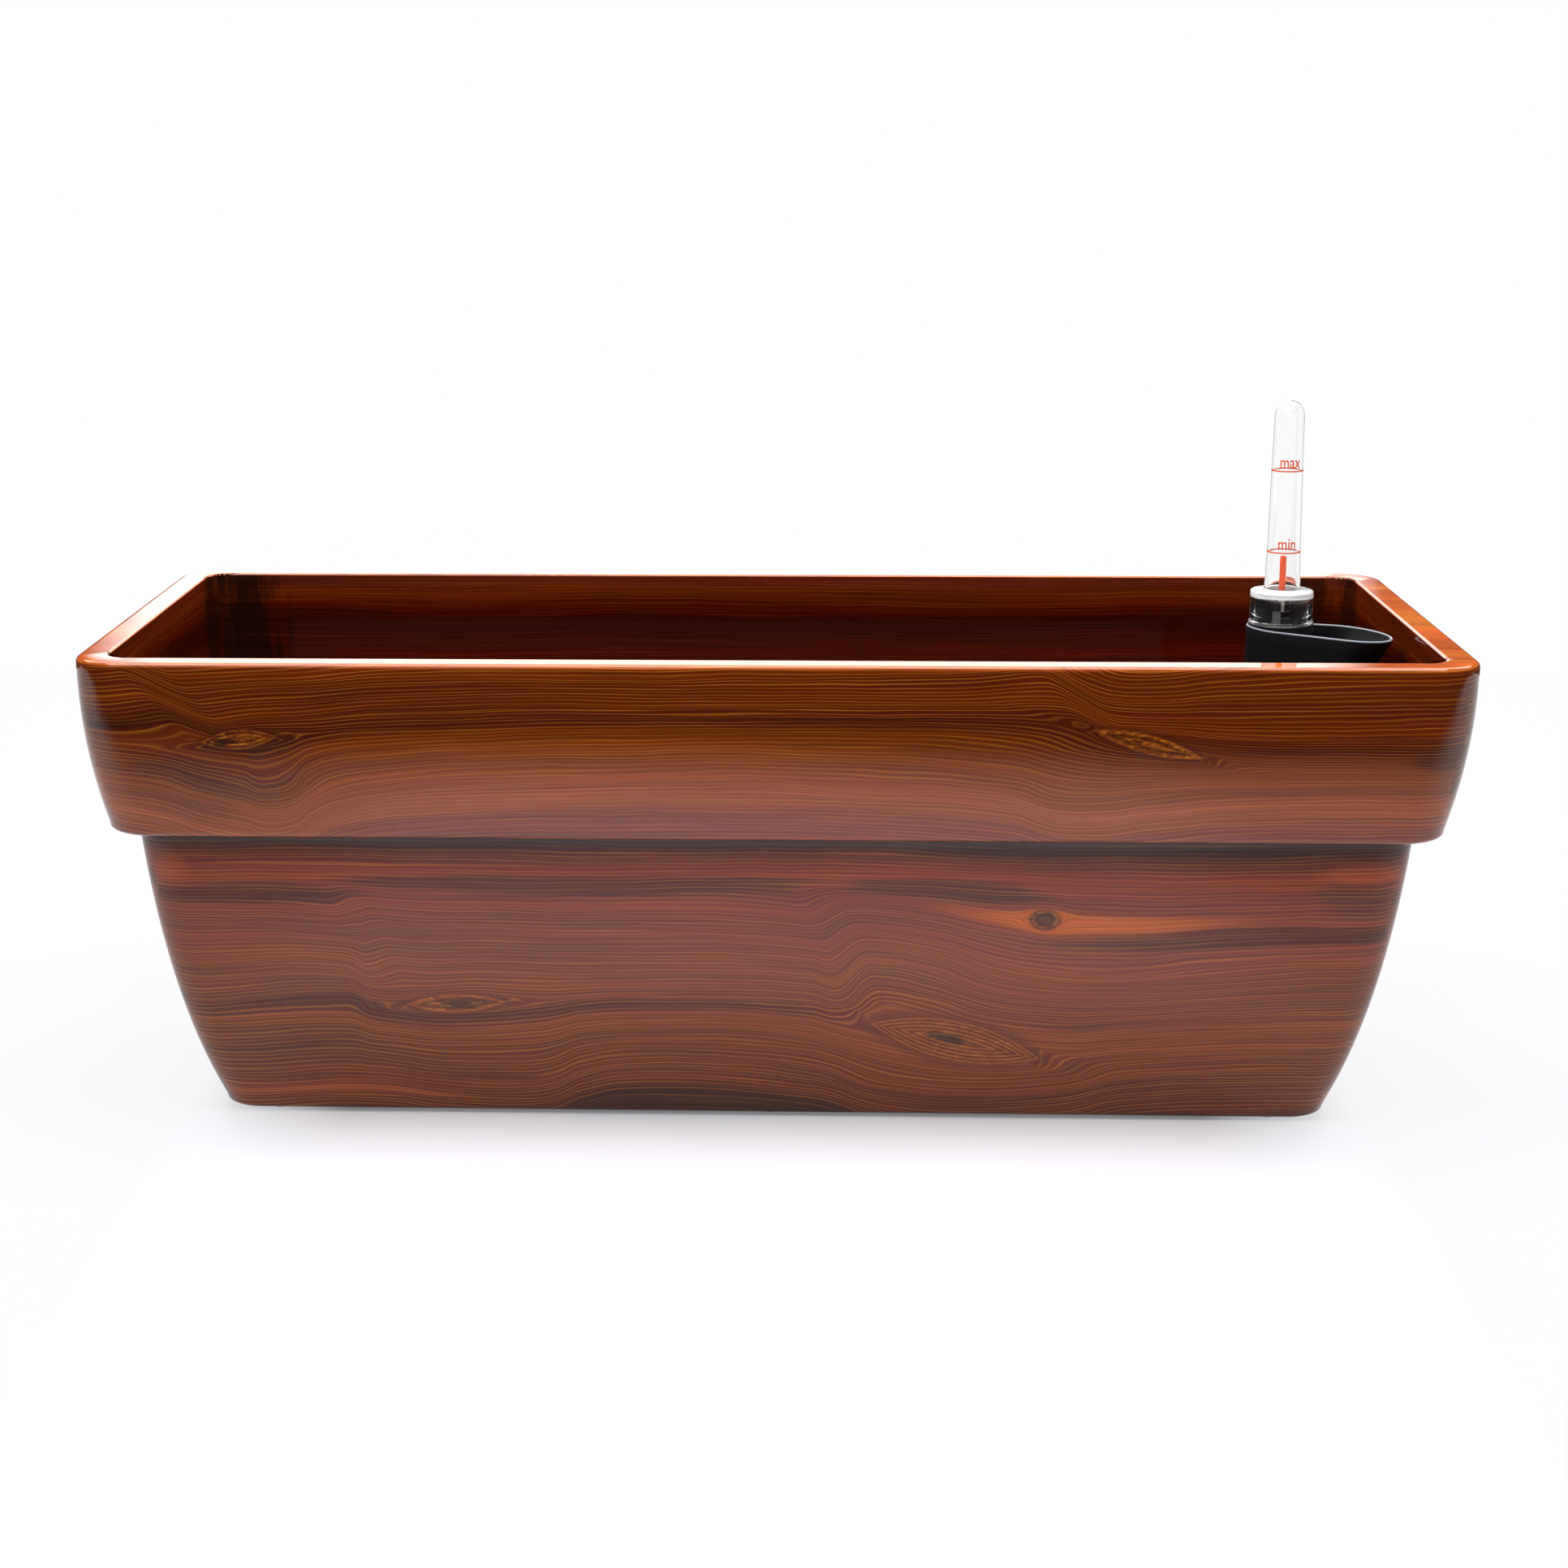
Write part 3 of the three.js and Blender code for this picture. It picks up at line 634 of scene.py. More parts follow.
def grainLacquer(name, grain, lineShare, seed, coat):
    # Printed wood-grain film on composite under clear lacquer: long fine lines that part round the knots,
    # broad smoky streaks, and a deep wet gloss over all of it.
    material, add = newMaterial(name)
    place = add("TexCoord")
    inMm = add("VectorMath", {0: place.outputs["Object"], "Scale": 1000.0}, operation="SCALE")
    along, z, face, seedNumber = wallPlace(add, inMm, seed)
    lift = wallLift(add, grain, along, z)
    wallVector = add("CombineXYZ", (along, z, seedNumber))
    knotSpots = [(knot, *knotPlace(add, knot, wallVector)) for knot in grain["knots"]]
    for knot, across, upward, lens in knotSpots:
        # the lines part above and below the knot and close again past its tips
        nearness = add("Math", (lens, film["knotFade"]), operation="MULTIPLY")
        fade = add("Math", (nearness,), operation="EXPONENT")
        turn, push = film["knotTurn"], knot["push"]
        side = add("MapRange", (upward, -turn, turn, -push, push))
        lift = add("Math", (fade, side, lift), operation="MULTIPLY_ADD")

    level = add("Math", (z, lift), operation="SUBTRACT")
    for length, height, detail, roughness, amount in film["wobbles"]:
        stretched = add("Mapping", {"Vector": wallVector, "Scale": (1 / length, 1 / height, 1)})
        noise = add("TexNoise", {0: stretched, "Scale": 1.0, "Detail": detail, "Roughness": roughness})
        wobble = add("Math", (noise, amount, -amount / 2), operation="MULTIPLY_ADD")
        level = add("Math", (level, wobble), operation="ADD")
    grainVector = add("CombineXYZ", (along, level, seedNumber))
    streaks = {}
    for streakName, (length, width, detail, roughness, _) in film["streaks"].items():
        stretched = add("Mapping", {"Vector": grainVector, "Scale": (1 / length, 1 / width, 1)})
        streaks[streakName] = add("TexNoise", {0: stretched, "Scale": 1.0, "Detail": detail,
                                               "Roughness": roughness})
    medium = streaks["medium"]

    # tone by level, its edges frayed by the streaks
    frayed = add("Math", (medium, film["fray"], -film["fray"] / 2), operation="MULTIPLY_ADD")
    toneLevel = add("Math", (level, frayed), operation="ADD")
    bottom, top = grain["tones"][0][0], grain["tones"][-1][0]
    toneShare = add("MapRange", (toneLevel, float(bottom), float(top)))
    ramp = add("ValToRGB", (toneShare,))
    fillRamp(ramp, [((height - bottom) / (top - bottom), tone) for height, tone in grain["tones"]])
    colour = ramp.outputs[0]
    for patch in grain["patches"]:
        colour = paintPatch(add, colour, patch, grainVector, wallVector, face, medium)
    if "edge" in grain:
        # painted light: a lighter tone on the rim top where the light falls, and a painted shadow along the
        # base
        edge = grain["edge"]
        paintedEdgeLight = add("MapRange", (z, edge["from"], edge["to"]))
        colour = add("Mix", {0: paintedEdgeLight, 6: colour, 7: linear(edge["colour"])}, data_type="RGBA").outputs[2]
    for streakName, noise in streaks.items():
        gain = add("MapRange", (noise, *film["streaks"][streakName][4]))
        colour = add("VectorMath", {0: colour, "Scale": gain}, operation="SCALE").outputs[0]
    colour = paintLines(add, colour, film["goldLines"], lineShare, level, streaks)
    colour = paintLines(add, colour, film["darkLines"], film["darkLines"]["share"], level, streaks)
    for knot, across, upward, lens in knotSpots:
        colour = paintKnot(add, colour, knot, wallVector, across, upward, lens)

    orangePeel = add("TexNoise", {0: inMm, "Scale": 0.16, "Detail": 1.0})
    bump = add("Bump", {"Height": orangePeel, "Strength": 0.05, "Distance": 0.0004})
    shader = add("BsdfPrincipled", {"Base Color": colour, "Roughness": 0.42, "IOR": 1.5,
                                    "Specular IOR Level": 0.0, "Coat Weight": coat, "Coat Roughness": 0.06,
                                    "Coat IOR": 1.52, "Coat Normal": bump})
    add("OutputMaterial", (shader,))
    return material


bandLacquer = grainLacquer("printed cedar band under lacquer", bandGrain, 0.55, 3, 1.0)
bodyLacquer = grainLacquer("printed cedar body under lacquer", bodyGrain, 0.5, 11, 0.8)
insideLacquer = grainLacquer("printed cedar lining under lacquer", insideGrain, 0.09, 23, 0.7)
print("wood lacquers made")


trough = {
    "half": (400, 170),
    "cornerSteps": 12,
    "outerCorner": 28,
    "rimWidth": 17.8,
    "rimEdge": 2.8,
    "bandBottom": 185,
    "recess": 7.5,
    "floor": 13.5,
}


def curvePoints(start, control, end, count):
    # points along a quadratic curve, the end left out
    points = []
    for k in range(count):
        t = k / count
        points.append(tuple((1 - t) ** 2 * a + 2 * t * (1 - t) * b + t * t * c for a, b,
                            c in zip(start, control, end)))
    return points


def arcPoints(inset, z, size, first, last, count):
    points = []
    for k in range(count + 1):
        angle = math.radians(first + (last - first) * k / count)
        points.append((inset + size * math.cos(angle), z + size * math.sin(angle)))
    return points


def troughRings():
    # (inset, height, corner radius) up the outside, over the rim and down the inside, in mm
    outside = [(91, trough["recess"]), (90.4, 2.2), (89.6, 1.5)]
    outside += arcPoints(68.6, 5.5, 4, 270, 205, 5)
    outside += curvePoints((64.2, 7), (37.9, 71.4), (27.2, 177), 20)
    outside += [(27.2, 177), (26.6, 181.5), (25.4, 184), (23.4, trough["bandBottom"])]
    outside += arcPoints(16.6, trough["bandBottom"] + 4.5, 4.5, 270, 192, 6)
    outside += curvePoints((11.9, 191), (0.4, 236.4), (0.0, 283), 18)
    outside += arcPoints(trough["rimEdge"], 290 - trough["rimEdge"], trough["rimEdge"], 175, 90, 5)
    outside += [(trough["rimEdge"] + 0.5, 290), (trough["rimWidth"] - 2.0, 290)]
    inner = arcPoints(trough["rimWidth"] - 1.5, 288.5, 1.5, 90, 0, 4)
    inner += [(18.0, 270)]
    inner += curvePoints((18.2, 250), (18.6, 207), (35, 176), 8)
    inner += curvePoints((35, 176), (43, 95), (60, 34), 8)
    inner += [(60, 34), (63, 25), (68, 17.5), (74, 14.2), (80, trough["floor"])]
    rings = [(inset, z, max(8, trough["outerCorner"] - 6 * inset / 65)) for inset, z in outside]
    rings += [(inset, z, 15 - (inset - 17.8) / 20) for inset, z in inner]
    return rings


def makeTrough():
    half, steps = trough["half"], trough["cornerSteps"]
    shell = roundedLoft("troughShell", troughRings(), half, steps)
    drainHole = [rodPiece("drainHole", (0, 0), drainSettings["hole"], 0, 30, 64)]
    pocketRadius, pocketTop = feetSettings["pocket"]
    pockets = [rodPiece("footPocket", (x, y), pocketRadius, 0, pocketTop, 48)
               for x in feetSettings["columns"].values() for y in feetSettings["rows"].values()]
    cutOrJoin(shell, drainHole + pockets)
    for material in (bandLacquer, bodyLacquer, insideLacquer, bareComposite):
        shell.data.materials.append(material)
    tidyMesh(shell, 50)
    for face in shell.data.polygons:
        middle, normal = face.center, face.normal
        outward = middle.x * normal.x + middle.y * normal.y > 0
        onRim = middle.z > 0.286 and normal.z > 0.3
        # the band's underside takes the body lacquer, whose dark top tones are painted shade
        if onRim or (middle.z > 0.1845 and outward and normal.z > -0.9):
            face.material_index = 0
        elif middle.z < 0.0145 and (abs(normal.z) > 0.9 or not outward):
            face.material_index = 3
        elif middle.z > 0.012 and not outward:
            face.material_index = 2
        else:
            face.material_index = 1
    settle(shell, "shell", "planter_shell")


def plasticSurface(name, colour, roughness, mottle, grain, grainDepth, rim=None):
    # one moulded polymer: a faint uneven tint and a fine moulded grain, and a painted highlight on the lip
    # where rim says
    material, add = newMaterial(name)
    place = add("TexCoord")
    inMm = add("VectorMath", {0: place.outputs["Object"], "Scale": 1000.0}, operation="SCALE")
    clouds = add("TexNoise", {0: inMm, "Scale": 0.05, "Detail": 4.0})
    tint = add("MapRange", (clouds, 0.3, 0.7, 1 - mottle, 1 + mottle))
    base = add("VectorMath", {0: linear(colour)[:3], "Scale": tint}, operation="SCALE").outputs[0]
    fine = add("TexNoise", {0: inMm, "Scale": grain, "Detail": 3.0, "Roughness": 0.6})
    gloss = add("MapRange", (fine, 0.3, 0.7, roughness * 0.88, min(1.0, roughness * 1.12)))
    bump = add("Bump", {"Height": fine, "Strength": 0.35, "Distance": grainDepth * mm})
    if rim:
        # height above the sloping rim plane, away from the neck
        above = add("VectorMath", {0: inMm, 1: (rim["slope"], 0, 1)},
                    operation="DOT_PRODUCT").outputs["Value"]
        fromNeck = add("VectorMath", {0: inMm, 1: rim["neck"]}, operation="SUBTRACT")
        flat = add("VectorMath", {0: fromNeck, 1: (1, 1, 0)}, operation="MULTIPLY")
        away = add("VectorMath", {0: flat}, operation="LENGTH").outputs["Value"]
        lip = add("MapRange", (above, rim["from"], rim["to"]))
        clear = add("Math", (away, rim["reach"]), operation="GREATER_THAN")
        mask = add("Math", (lip, clear), operation="MULTIPLY")
        # painted highlight: the lip's bead is painted pale grey where it catches the light
        base = add("Mix", {0: mask, 6: base, 7: linear("#8b9199")}, data_type="RGBA").outputs[2]
    shader = add("BsdfPrincipled", {"Base Color": base, "Roughness": gloss, "IOR": 1.49, "Normal": bump,
                                    "Specular IOR Level": 0.35})
    add("OutputMaterial", (shader,))
    return material


# black polypropylene, fine spark-eroded grain: deep black with a soft sheen
blackPlastic = plasticSurface("black moulded polypropylene", "#0f0f12", 0.45, 0.15, 1.6, 0.04)
# the same with a painted highlight: a pale grey line round the funnel's lip
spoutPlastic = plasticSurface("black polypropylene with painted lip highlight", "#0f0f12", 0.45, 0.15, 1.6, 0.04,
                              {"slope": 0.084, "neck": (307.3, -25, 0), "from": 312.45, "to": 312.95,
                               "reach": 19.6})
# recycled grey polypropylene: flat grey with cloudy streaks
greyPlastic = plasticSurface("grey recycled polypropylene", "#45484c", 0.5, 0.12, 1.2, 0.05)
# white nylon: clean and slightly glossy
whitePlastic = plasticSurface("white moulded nylon", "#e9e9e6", 0.35, 0.03, 2.0, 0.02)
# orange ABS pigment: the strong signal colour
orangePlastic = plasticSurface("orange pigmented plastic", "#ff5400", 0.6, 0.04, 2.0, 0.02)
# closed-cell foam: matt white with small cells
foamSurface = plasticSurface("expanded polystyrene foam", "#f1efe6", 0.8, 0.05, 0.5, 0.25)
# nitrile rubber: dull black
rubberSurface = plasticSurface("black nitrile rubber", "#17171a", 0.75, 0.1, 1.0, 0.08)


def clearSurface():
    # injection-moulded clear polystyrene: nearly invisible, edges drawn by refraction, faint flow marks
    material, add = newMaterial("clear moulded polystyrene")
    place = add("TexCoord")
    inMm = add("VectorMath", {0: place.outputs["Object"], "Scale": 1000.0}, operation="SCALE")
    stretched = add("Mapping", {"Vector": inMm, "Scale": (0.35, 0.35, 0.03)})
    flow = add("TexNoise", {0: stretched, "Scale": 1.0, "Detail": 2.0})
    bump = add("Bump", {"Height": flow, "Strength": 0.2, "Distance": 0.0001})
    # painted reflection: the roof of the cup is made partly milky white, standing in for the bright light it
    # mirrors
    height = add("SeparateXYZ", {0: inMm}).outputs[2]
    above = add("MapRange", (height, 306.5, 308.0, 1.0, 0.45))
    upper = add("MapRange", (height, 310.9, 311.6))
    clear = add("Math", (above, upper), operation="MAXIMUM")
    shader = add("BsdfPrincipled", {"Base Color": (1, 1, 1, 1), "Roughness": 0.02, "IOR": 1.5,
                                    "Transmission Weight": clear, "Normal": bump})
    add("OutputMaterial", (shader,))
    return material


clearPlastic = clearSurface()
# the bare wood-fibre composite under the film: dark, dull brown
bareComposite = plasticSurface("bare brown wood-fibre composite", "#2a140c", 0.7, 0.2, 0.8, 0.1)
print("plastics made")


feetSettings = {"radius": 8, "height": 4.2, "pocket": (8.3, 4.5),
                "columns": {"left": -300, "middle": 0, "right": 300}, "rows": {"front": -91.5, "back": 91.5}}
drainSettings = {"hole": 16, "bore": 11, "flange": 21, "neck": 15.7, "flangeTop": 7.2, "floor": 13.5,
                 "head": 15, "tab": (16, 3, 14)}


def makeFeet():
    radius, top = feetSettings["radius"], feetSettings["height"]
    rows = [(radius - 1.2, 0), (radius - 0.5, 0.2), (radius - 0.1, 0.7), (radius, 1.4), (radius, top)]
    first = turnedPiece("footPattern", rows, segments=48)
    tidyMesh(first)
    for columnName, x in feetSettings["columns"].items():
        for rowName, y in feetSettings["rows"].items():
            node = f"foot_{columnName}_{rowName}"
            settle(copyOf(first, f"rubber_{node}", (x, y, 0)), "shell", node, rubberSurface)
    bpy.data.objects.remove(first, do_unlink=True)


def makeDrain():
    bore, flange, neck, top = (drainSettings[key] for key in ("bore", "flange", "neck", "flangeTop"))
    floorTop = drainSettings["floor"]
    bush = turnedPiece("drainBush", [(bore, top - 3), (flange - 0.6, top - 3), (flange, top - 2.4),
                                     (flange, top), (neck, top), (neck, floorTop), (bore + 0.6, floorTop),
                                     (bore, floorTop - 0.6), (bore, top - 3)])
    tidyMesh(bush)
    settle(bush, "shell", "drain_bush", blackPlastic)
    head, wide = floorTop + 0.3, drainSettings["head"]
    plug = turnedPiece("drainPlug", [(bore - 2, 5), (bore - 0.6, 7), (bore - 0.3, 8), (bore - 0.3, head),
                                     (wide - 0.6, head), (wide, head + 0.6), (wide, head + 2.8),
                                     (wide - 0.7, head + 3.7), (wide - 1.8, head + 4), (5, head + 4)])
    width, thickness, height = drainSettings["tab"]
    tab = boxPiece("tab", (0, 0, head + 9), (width, thickness, height), edge=0.9)
    cutOrJoin(plug, [tab], "UNION")
    tidyMesh(plug)
    settle(plug, "drain", "drain_plug", rubberSurface)


makeTrough()
print("trough made")
makeFeet()
makeDrain()
print("feet and drain made")


plateSettings = {"bottom": 85, "top": 88, "half": (350, 120), "corner": 14, "lip": 9, "lipWidth": 2.2,
                 "slotPitch": 44}
basketSettings = {"places": (-225, -75, 75, 225), "holeRadius": 30.6, "bottom": 14.5, "flange": 34.5}
legSettings = {"columns": (-285, -95, 95, 285), "rows": (-82, 82), "arm": 16, "web": 2.4, "bottom": 13.8,
               "top": 84.7}
spoutPlace = (307.3, -25)


def makeSeparator():
    bottom, top, corner = plateSettings["bottom"], plateSettings["top"], plateSettings["corner"]
    lipTop, lip = top + plateSettings["lip"], plateSettings["lipWidth"]
    rings = [(0.8, bottom, corner - 0.8), (0, bottom + 0.8, corner), (0, lipTop - 0.7, corner),
             (0.3, lipTop - 0.15, corner), (lip / 2, lipTop, corner - 1),
             (lip - 0.3, lipTop - 0.15, corner - 2), (lip, lipTop - 0.7, corner - lip),
             (lip, top + 0.8, corner - lip), (lip + 0.8, top, corner - lip - 0.8)]
    plate = roundedLoft("separatorPlate", rings, plateSettings["half"], 8)
    tools = [rodPiece("hole", (x, 0), basketSettings["holeRadius"], 80, 92, 64)
             for x in basketSettings["places"]]
    tools.append(rodPiece("cageHole", spoutPlace, 20.8, 80, 92, 64))
    for x in range(-330, 331, plateSettings["slotPitch"]):
        for y, length in ((-102, 18), (-60, 26), (60, 26), (102, 18)):
            if x <= 270 or y != -60:
                tools.append(boxPiece("slot", (x, y, 86), (5, length, 12)))
    cutOrJoin(plate, tools)
    passage = boxPiece("passage", (spoutPlace[0] + 15, spoutPlace[1], 86), (30, 26, 12))
    cutOrJoin(plate, [passage])
    tidyMesh(plate)
    settle(plate, "separator", "separator_plate", greyPlastic)


def makeBaskets():
    bottom, seat, flange = basketSettings["bottom"], plateSettings["top"] + 0.3, basketSettings["flange"]
    rows = [(22, bottom), (23, bottom + 1), (30, seat), (flange - 0.4, seat), (flange, seat + 0.5),
            (flange, seat + 1.7), (flange - 0.5, seat + 2.2), (28.8, seat + 2.2), (28.2, seat + 1.6),
            (21.2, bottom + 3.2), (20, bottom + 2.2)]
    basket = turnedPiece("basketPattern", rows, segments=72)
    tools = [boxPiece("slot", (0, 0, 50), (80, 5, 50), (turn + 0.5) * math.pi / 4) for turn in range(4)]
    cutOrJoin(basket, tools)
    holes = [rodPiece("hole", (12 * math.cos(turn), 12 * math.sin(turn)), 3, 11, 20, 24)
             for turn in (0, math.pi / 2, math.pi, 3 * math.pi / 2)]
    cutOrJoin(basket, holes)
    tidyMesh(basket)
    for number, x in enumerate(basketSettings["places"]):
        node = f"wick_basket_{number + 1}"
        settle(copyOf(basket, f"slotted_{node}", (x, 0, 0)), "separator", node, greyPlastic)
    bpy.data.objects.remove(basket, do_unlink=True)


def makeLegs():
    arm, web, bottom, top = (legSettings[key] for key in ("arm", "web", "bottom", "top"))
    middle, height = (top + bottom) / 2, top - bottom
    leg = boxPiece("legPattern", (0, 0, middle), (arm, web, height))
    cutOrJoin(leg, [boxPiece("across", (0, 0, middle), (web, arm, height))], "UNION")
    cutOrJoin(leg, [boxPiece("foot", (0, 0, bottom + 1.25), (arm, arm, 2.5)),
                    boxPiece("head", (0, 0, top - 1), (arm, arm, 2))], "UNION")
    softenEdges(leg, 0.3)
    tidyMesh(leg)
    number = 0
    for y in legSettings["rows"]:
        for x in legSettings["columns"]:
            number += 1
            node = f"support_leg_{number}"
            settle(copyOf(leg, f"cross_{node}", (x, y, 0)), "separator", node, greyPlastic)
    bpy.data.objects.remove(leg, do_unlink=True)


makeSeparator()
makeBaskets()
makeLegs()
print("separator made")


spoutSettings = {"neck": 20.5, "shaftReach": 12, "mouth": 28, "mouthReach": 43.2, "funnelFrom": 225,
                 "bottom": 90.6, "rimLeft": 289.3, "rimSlope": 0.084, "wall": 2,
                 "deck": (19.5, 285.6, 290.6), "collar": (16, 14, 305.5), "bore": 6, "segments": 96}


def eggOutline(ring, step):
    # a small circle at the neck and a large one towards the end wall, joined by their tangents
    small, large, reach, z, slope = ring
    half = spoutSettings["segments"] // 2
    tangent = math.acos((small - large) / reach)
    onLarge = (step + half // 2) % (2 * half) < half
    place = (step + half // 2) % (2 * half) % half / (half - 1)
    if onLarge:
        angle, radius, centre = -tangent + 2 * tangent * place, large, reach
    else:
        angle, radius, centre = tangent + 2 * (math.pi - tangent) * place, small, 0
    x = centre + radius * math.cos(angle)
    return (spoutPlace[0] + x, spoutPlace[1] + radius * math.sin(angle),
            z - slope * (x + spoutSettings["neck"]))


def spoutRings():
    # up the outside, over a round bead at the sloping rim, and down the inside
    neck, mouth, wall = spoutSettings["neck"], spoutSettings["mouth"], spoutSettings["wall"]
    start, end = spoutSettings["funnelFrom"], spoutSettings["rimLeft"] + 6
    rimZ = spoutSettings["rimLeft"] - 1

    def ring(z, thin, rise=0.0):
        part = max(0.0, min(1.0, (z - start) / (end - start)))
        sloped = max(0.0, min(1.0, (z - start) / (rimZ - start)))
        large = neck + (mouth - neck) * math.sqrt(part) - thin
        shaftReach, mouthReach = spoutSettings["shaftReach"], spoutSettings["mouthReach"]
        reach = shaftReach + (mouthReach - shaftReach) * part
        return (neck - thin, large, reach, z + rise, sloped * spoutSettings["rimSlope"])

    heights = [spoutSettings["bottom"], 160, start - 6, start, start + 3, start + 8, start + 16, start + 26,
               start + 36, start + 46, start + 56]
    bead = [(0, -0.4), (0.15, 0.25), (0.5, 0.75), (1.0, 0.95), (1.5, 0.75), (1.85, 0.25), (2.0, -0.4)]
    rows = [ring(z, 0) for z in heights]
    rows += [ring(rimZ, thin, rise) for thin, rise in bead]
    rows += [ring(z, wall) for z in reversed(heights)]
    return rows + [rows[0]]


def makeSpout():
    spout = ringLoft("fillerSpout", spoutRings(), eggOutline, spoutSettings["segments"], closed=True)
    tidyMesh(spout)
    radius, low, high = spoutSettings["deck"]
    outer, inner, collarTop = spoutSettings["collar"]
    bore = spoutSettings["bore"]
    deck = turnedPiece("deck", [(bore, low), (radius, low), (radius, high - 0.4), (radius - 0.4, high),
                                (outer, high), (outer, collarTop - 0.4), (outer - 0.4, collarTop),
                                (inner + 0.4, collarTop), (inner, collarTop - 0.4), (inner, high),
                                (bore, high), (bore, low)], spoutPlace)
    tidyMesh(deck)
    cutOrJoin(deck, [boxPiece("slot", (spoutPlace[0], spoutPlace[1] - outer, collarTop - 5), (5.4, 8, 11))])
    cutOrJoin(spout, [deck], "UNION")
    tidyMesh(spout, 40)
    settle(spout, "spout", "filler_spout", spoutPlastic)
    guideOuter = inner - 0.3
    guideLow = high + 0.3
    guide = turnedPiece("rodGuide", [(3.4, guideLow), (guideOuter, guideLow), (guideOuter, guideLow + 1.7),
                                     (guideOuter - 0.3, guideLow + 2), (5.4, guideLow + 2),
                                     (5.4, guideLow + 4.7), (5.1, guideLow + 5), (3.4, guideLow + 5),
                                     (3.4, guideLow)], spoutPlace)
    tidyMesh(guide)
    settle(guide, "spout", "rod_guide", blackPlastic)


cageSettings = {"radius": 20.2, "wall": 2, "bottom": 17.5, "seat": 88.3, "socketTop": 104.3}


def makeCage():
    neck, reach = spoutSettings["neck"], spoutSettings["shaftReach"]
    seat, top = cageSettings["seat"], cageSettings["socketTop"]
    radius, wall, bottom = cageSettings["radius"], cageSettings["wall"], cageSettings["bottom"]

    def ovalOutline(ring, step):
        return eggOutline((neck - ring[0], neck - ring[0], reach, ring[1], 0), step)

    rows = [(-4.6, seat), (-5, seat + 0.4), (-5, seat + 1.6), (-4.6, seat + 2), (-2.5, seat + 2),
            (-2.5, top - 0.5), (-2, top), (-0.8, top), (-0.3, top - 0.5), (-0.3, seat + 2)]
    cage = ringLoft("floatCage", rows, ovalOutline, spoutSettings["segments"])
    cup = turnedPiece("cup", [(radius - 1, bottom), (radius, bottom + 1), (radius, seat + 1)], spoutPlace,
                      72)
    cutOrJoin(cage, [cup], "UNION")
    hollow = rodPiece("hollow", spoutPlace, radius - wall, bottom + wall, seat + 5, 72)
    cutOrJoin(cage, [hollow])
    for turn in range(3):
        cutOrJoin(cage, [boxPiece("slot", (*spoutPlace, 48), (60, 5, 52), (turn + 0.5) * math.pi / 3)])
    cutOrJoin(cage, [rodPiece("hole", (spoutPlace[0] + x, spoutPlace[1] + y), 3.6, seat - 1, seat + 3, 24)
                     for x, y in ((25.1, 0), (22.4, -9), (22.4, 9))])
    tidyMesh(cage)
    settle(cage, "spout", "float_cage", greyPlastic)


makeSpout()
makeCage()
print("spout made")


gaugeSettings = {"cupBottom": 290.9, "cupTop": 310.6, "cup": 18.8, "tubeTop": 424.5, "wall": 1.5,
                 "dome": 8.7, "rings": ((334, "min", 9.9), (383, "max", 9.35)), "textSize": 7.6,
                 "textTurn": 0.02, "textTall": 1.35}
floatSettings = {"rodHalf": 1.7, "rodBottom": 40.3, "rodTop": 306, "tipBottom": 306.3, "tipTop": 331.3,
                 "tip": 1.9, "floatRadius": 15, "floatBottom": 20, "floatTop": 40}


def capRows():
    low, high, cup, top, wall, dome = (gaugeSettings[key] for key in
                                       ("cupBottom", "cupTop", "cup", "tubeTop", "wall", "dome"))
    domeSteps = 7
    rows = [(cup + 0.3, low), (cup + 0.5, low + 0.3), (cup + 0.5, low + 1.0), (cup + 0.3, low + 1.3),
            (cup, low + 1.6), (cup, high - 1.4), (cup - 0.15, high - 0.75), (cup - 0.6, high - 0.2),
            (cup - 1.3, high), (12.2, high), (11.4, high + 0.3), (10.9, high + 1.0), (10.75, high + 2.0),
            (9.9, 334), (9.35, 383), (dome, top - 8)]
    for k in range(1, domeSteps):
        angle = k * math.pi / 2 / domeSteps
        rows.append((dome * math.cos(angle), top - 8 + 8 * math.sin(angle)))
    rows.append((0, top))
    inner = dome - wall
    rows.append((0, top - wall))
    for k in range(domeSteps - 1, 0, -1):
        angle = k * math.pi / 2 / domeSteps
        rows.append((inner * math.cos(angle), top - 8 - wall + 8 * math.sin(angle)))
    rows += [(inner, top - 8 - wall), (9.35 - wall, 383), (9.9 - wall, 334), (9.4, high - 1),
             (9.7, high - 2.5), (10.5, high - 3), (cup - 2.7, high - 3), (cup - 1.9, high - 3.6),
             (cup - 1.7, high - 4.6), (cup - 1.7, low), (cup + 0.3, low)]
    return rows


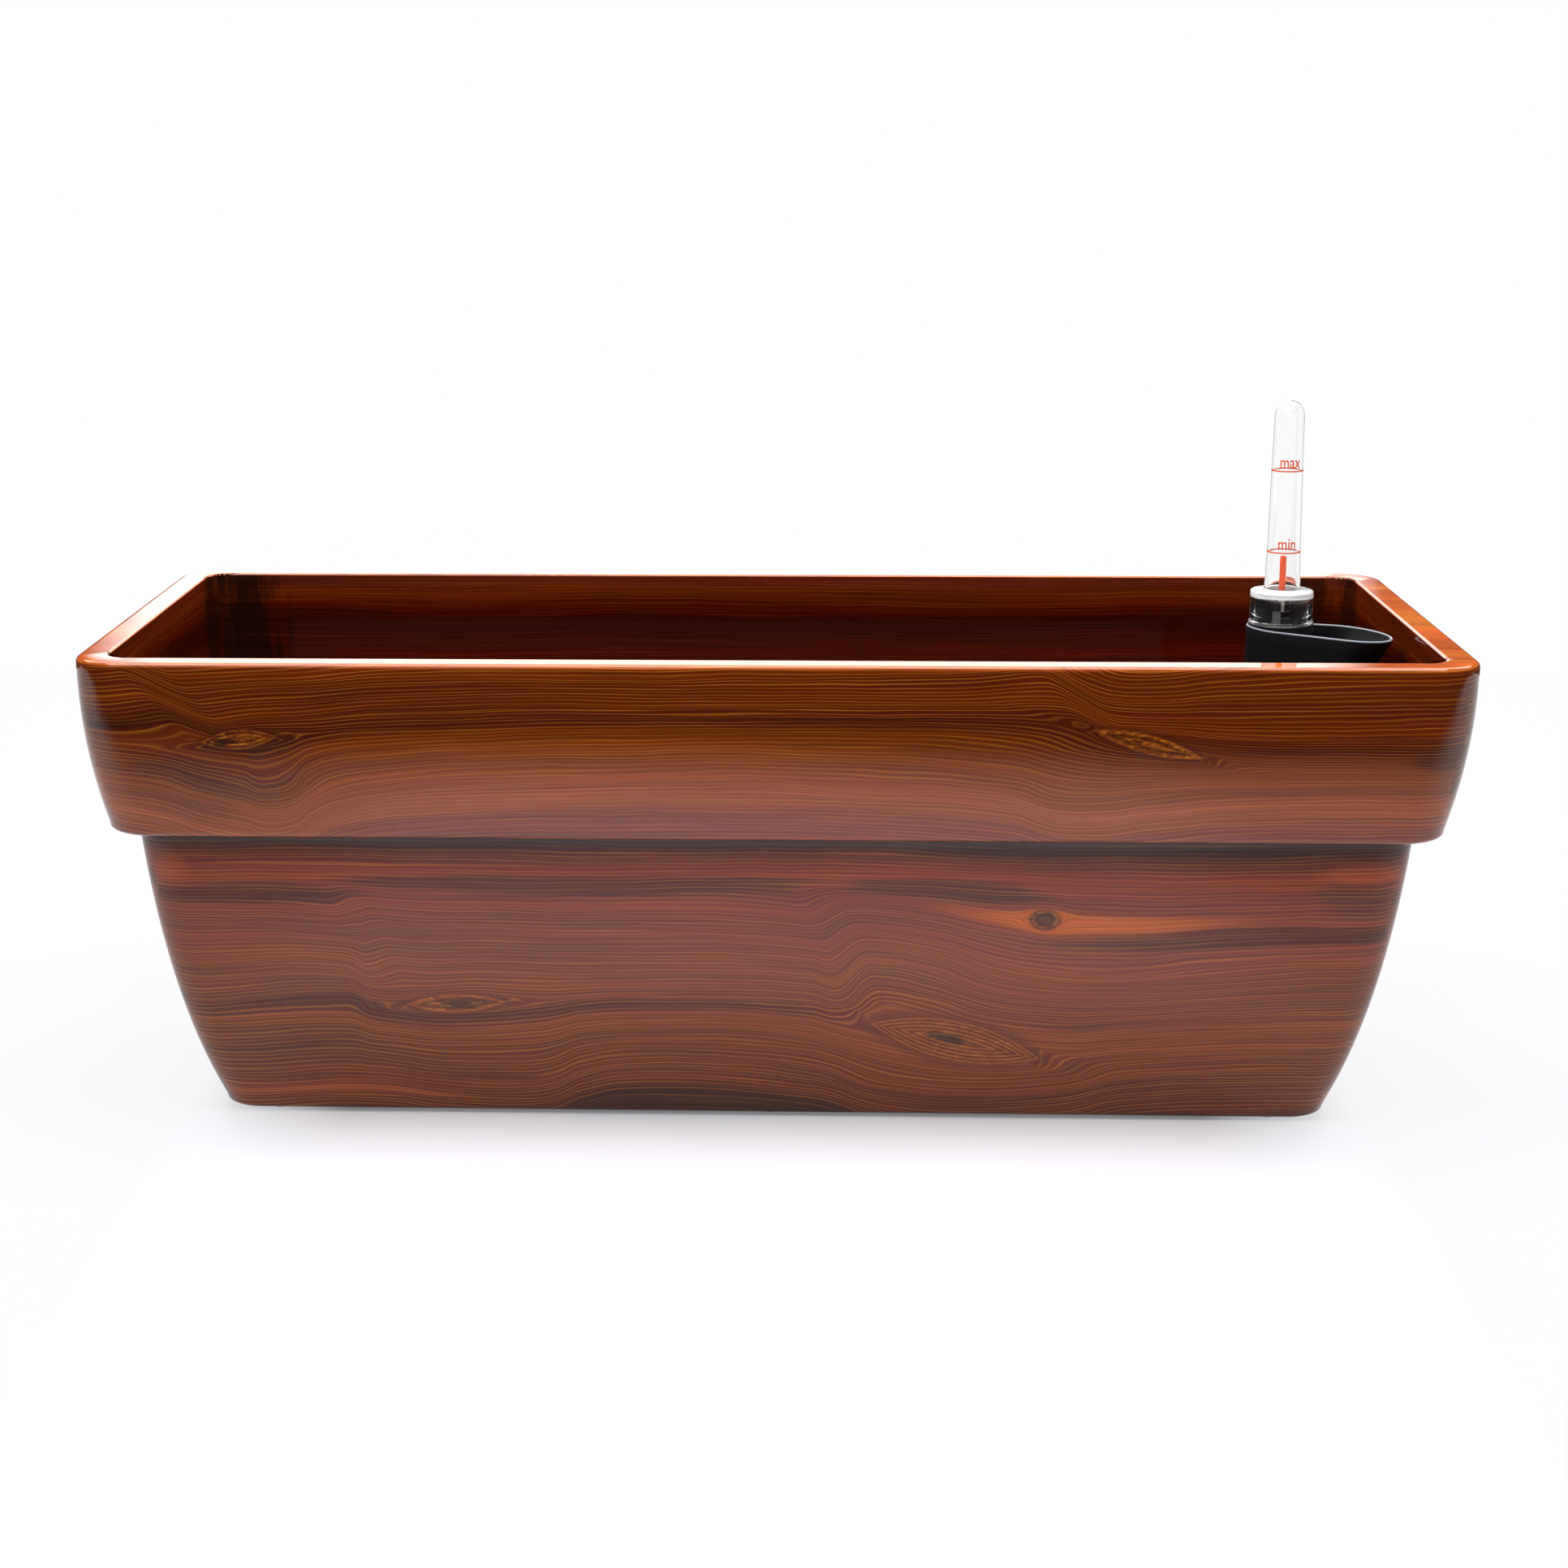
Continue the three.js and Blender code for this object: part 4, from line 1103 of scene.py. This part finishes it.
def makeCap():
    cap = turnedPiece("gaugeCap", capRows(), spoutPlace, 96)
    tidyMesh(cap, 50)
    settle(cap, "gauge", "gauge_cap", clearPlastic)
    for height, word, radius in gaugeSettings["rings"]:
        line = turnedPiece(f"line_{word}", [
            (radius - 0.05, height - 0.4), (radius + 0.12, height - 0.35), (radius + 0.12, height + 0.35),
            (radius - 0.05, height + 0.4), (radius - 0.05, height - 0.4),
        ], spoutPlace, 96)
        tidyMesh(line)
        bpy.ops.object.text_add(location=(0, 0, 0), rotation=(math.pi / 2, 0, 0))
        label = bpy.context.active_object
        label.name = f"word_{word}"
        label.data.body = word
        label.data.align_x = "CENTER"
        label.data.size = gaugeSettings["textSize"] * mm
        label.data.extrude = 0.05 * mm
        label.data.offset = 0.04 * mm
        label.data.resolution_u = 4
        bpy.ops.object.convert(target="MESH")
        applyPlace(label)
        turn = gaugeSettings["textTurn"]
        textRadius = radius + 0.02
        for vertex in label.data.vertices:
            # laid round the tube, the front of the word towards -Y
            angle = vertex.co.x / (radius * mm) + turn - math.pi / 2
            outward = (textRadius * mm) - vertex.co.y
            vertex.co = (spoutPlace[0] * mm + outward * math.cos(angle),
                         spoutPlace[1] * mm + outward * math.sin(angle),
                         vertex.co.z * gaugeSettings["textTall"] + (height + 2.1) * mm)
        tidyMesh(label)
        for piece in (line, label):
            settle(piece, "gauge", "gauge_cap", orangePlastic)


def makeFloat():
    half, low, high = floatSettings["rodHalf"], floatSettings["rodBottom"], floatSettings["rodTop"]
    rod = boxPiece("floatRod", (*spoutPlace, (low + high) / 2), (2 * half, 2 * half, high - low), edge=0.3)
    cutOrJoin(rod, [boxPiece("notch", (spoutPlace[0], spoutPlace[1] - half, high - 4 - 5 * k), (5, 1.4, 2))
                    for k in range(14)])
    tidyMesh(rod)
    settle(rod, "float", "float_rod", whitePlastic)
    tipLow, tipHigh, tip = (floatSettings[key] for key in ("tipBottom", "tipTop", "tip"))
    tipPiece = turnedPiece("rodTip", [(tip, tipLow), (tip, tipHigh - 1.2), (tip - 0.25, tipHigh - 0.5),
                                      (tip - 0.8, tipHigh - 0.1), (0.5, tipHigh)], spoutPlace, 32)
    tidyMesh(tipPiece, 60)
    settle(tipPiece, "float", "rod_tip", orangePlastic)
    radius, bottom, top = (floatSettings[key] for key in ("floatRadius", "floatBottom", "floatTop"))
    foam = turnedPiece("floatFoam", [(radius - 2, bottom), (radius - 0.6, bottom + 0.6),
                                     (radius, bottom + 2), (radius, top - 2), (radius - 0.6, top - 0.6),
                                     (radius - 2, top)], spoutPlace)
    tidyMesh(foam, 60)
    settle(foam, "float", "float", foamSurface)


makeCap()
makeFloat()
print("gauge made")
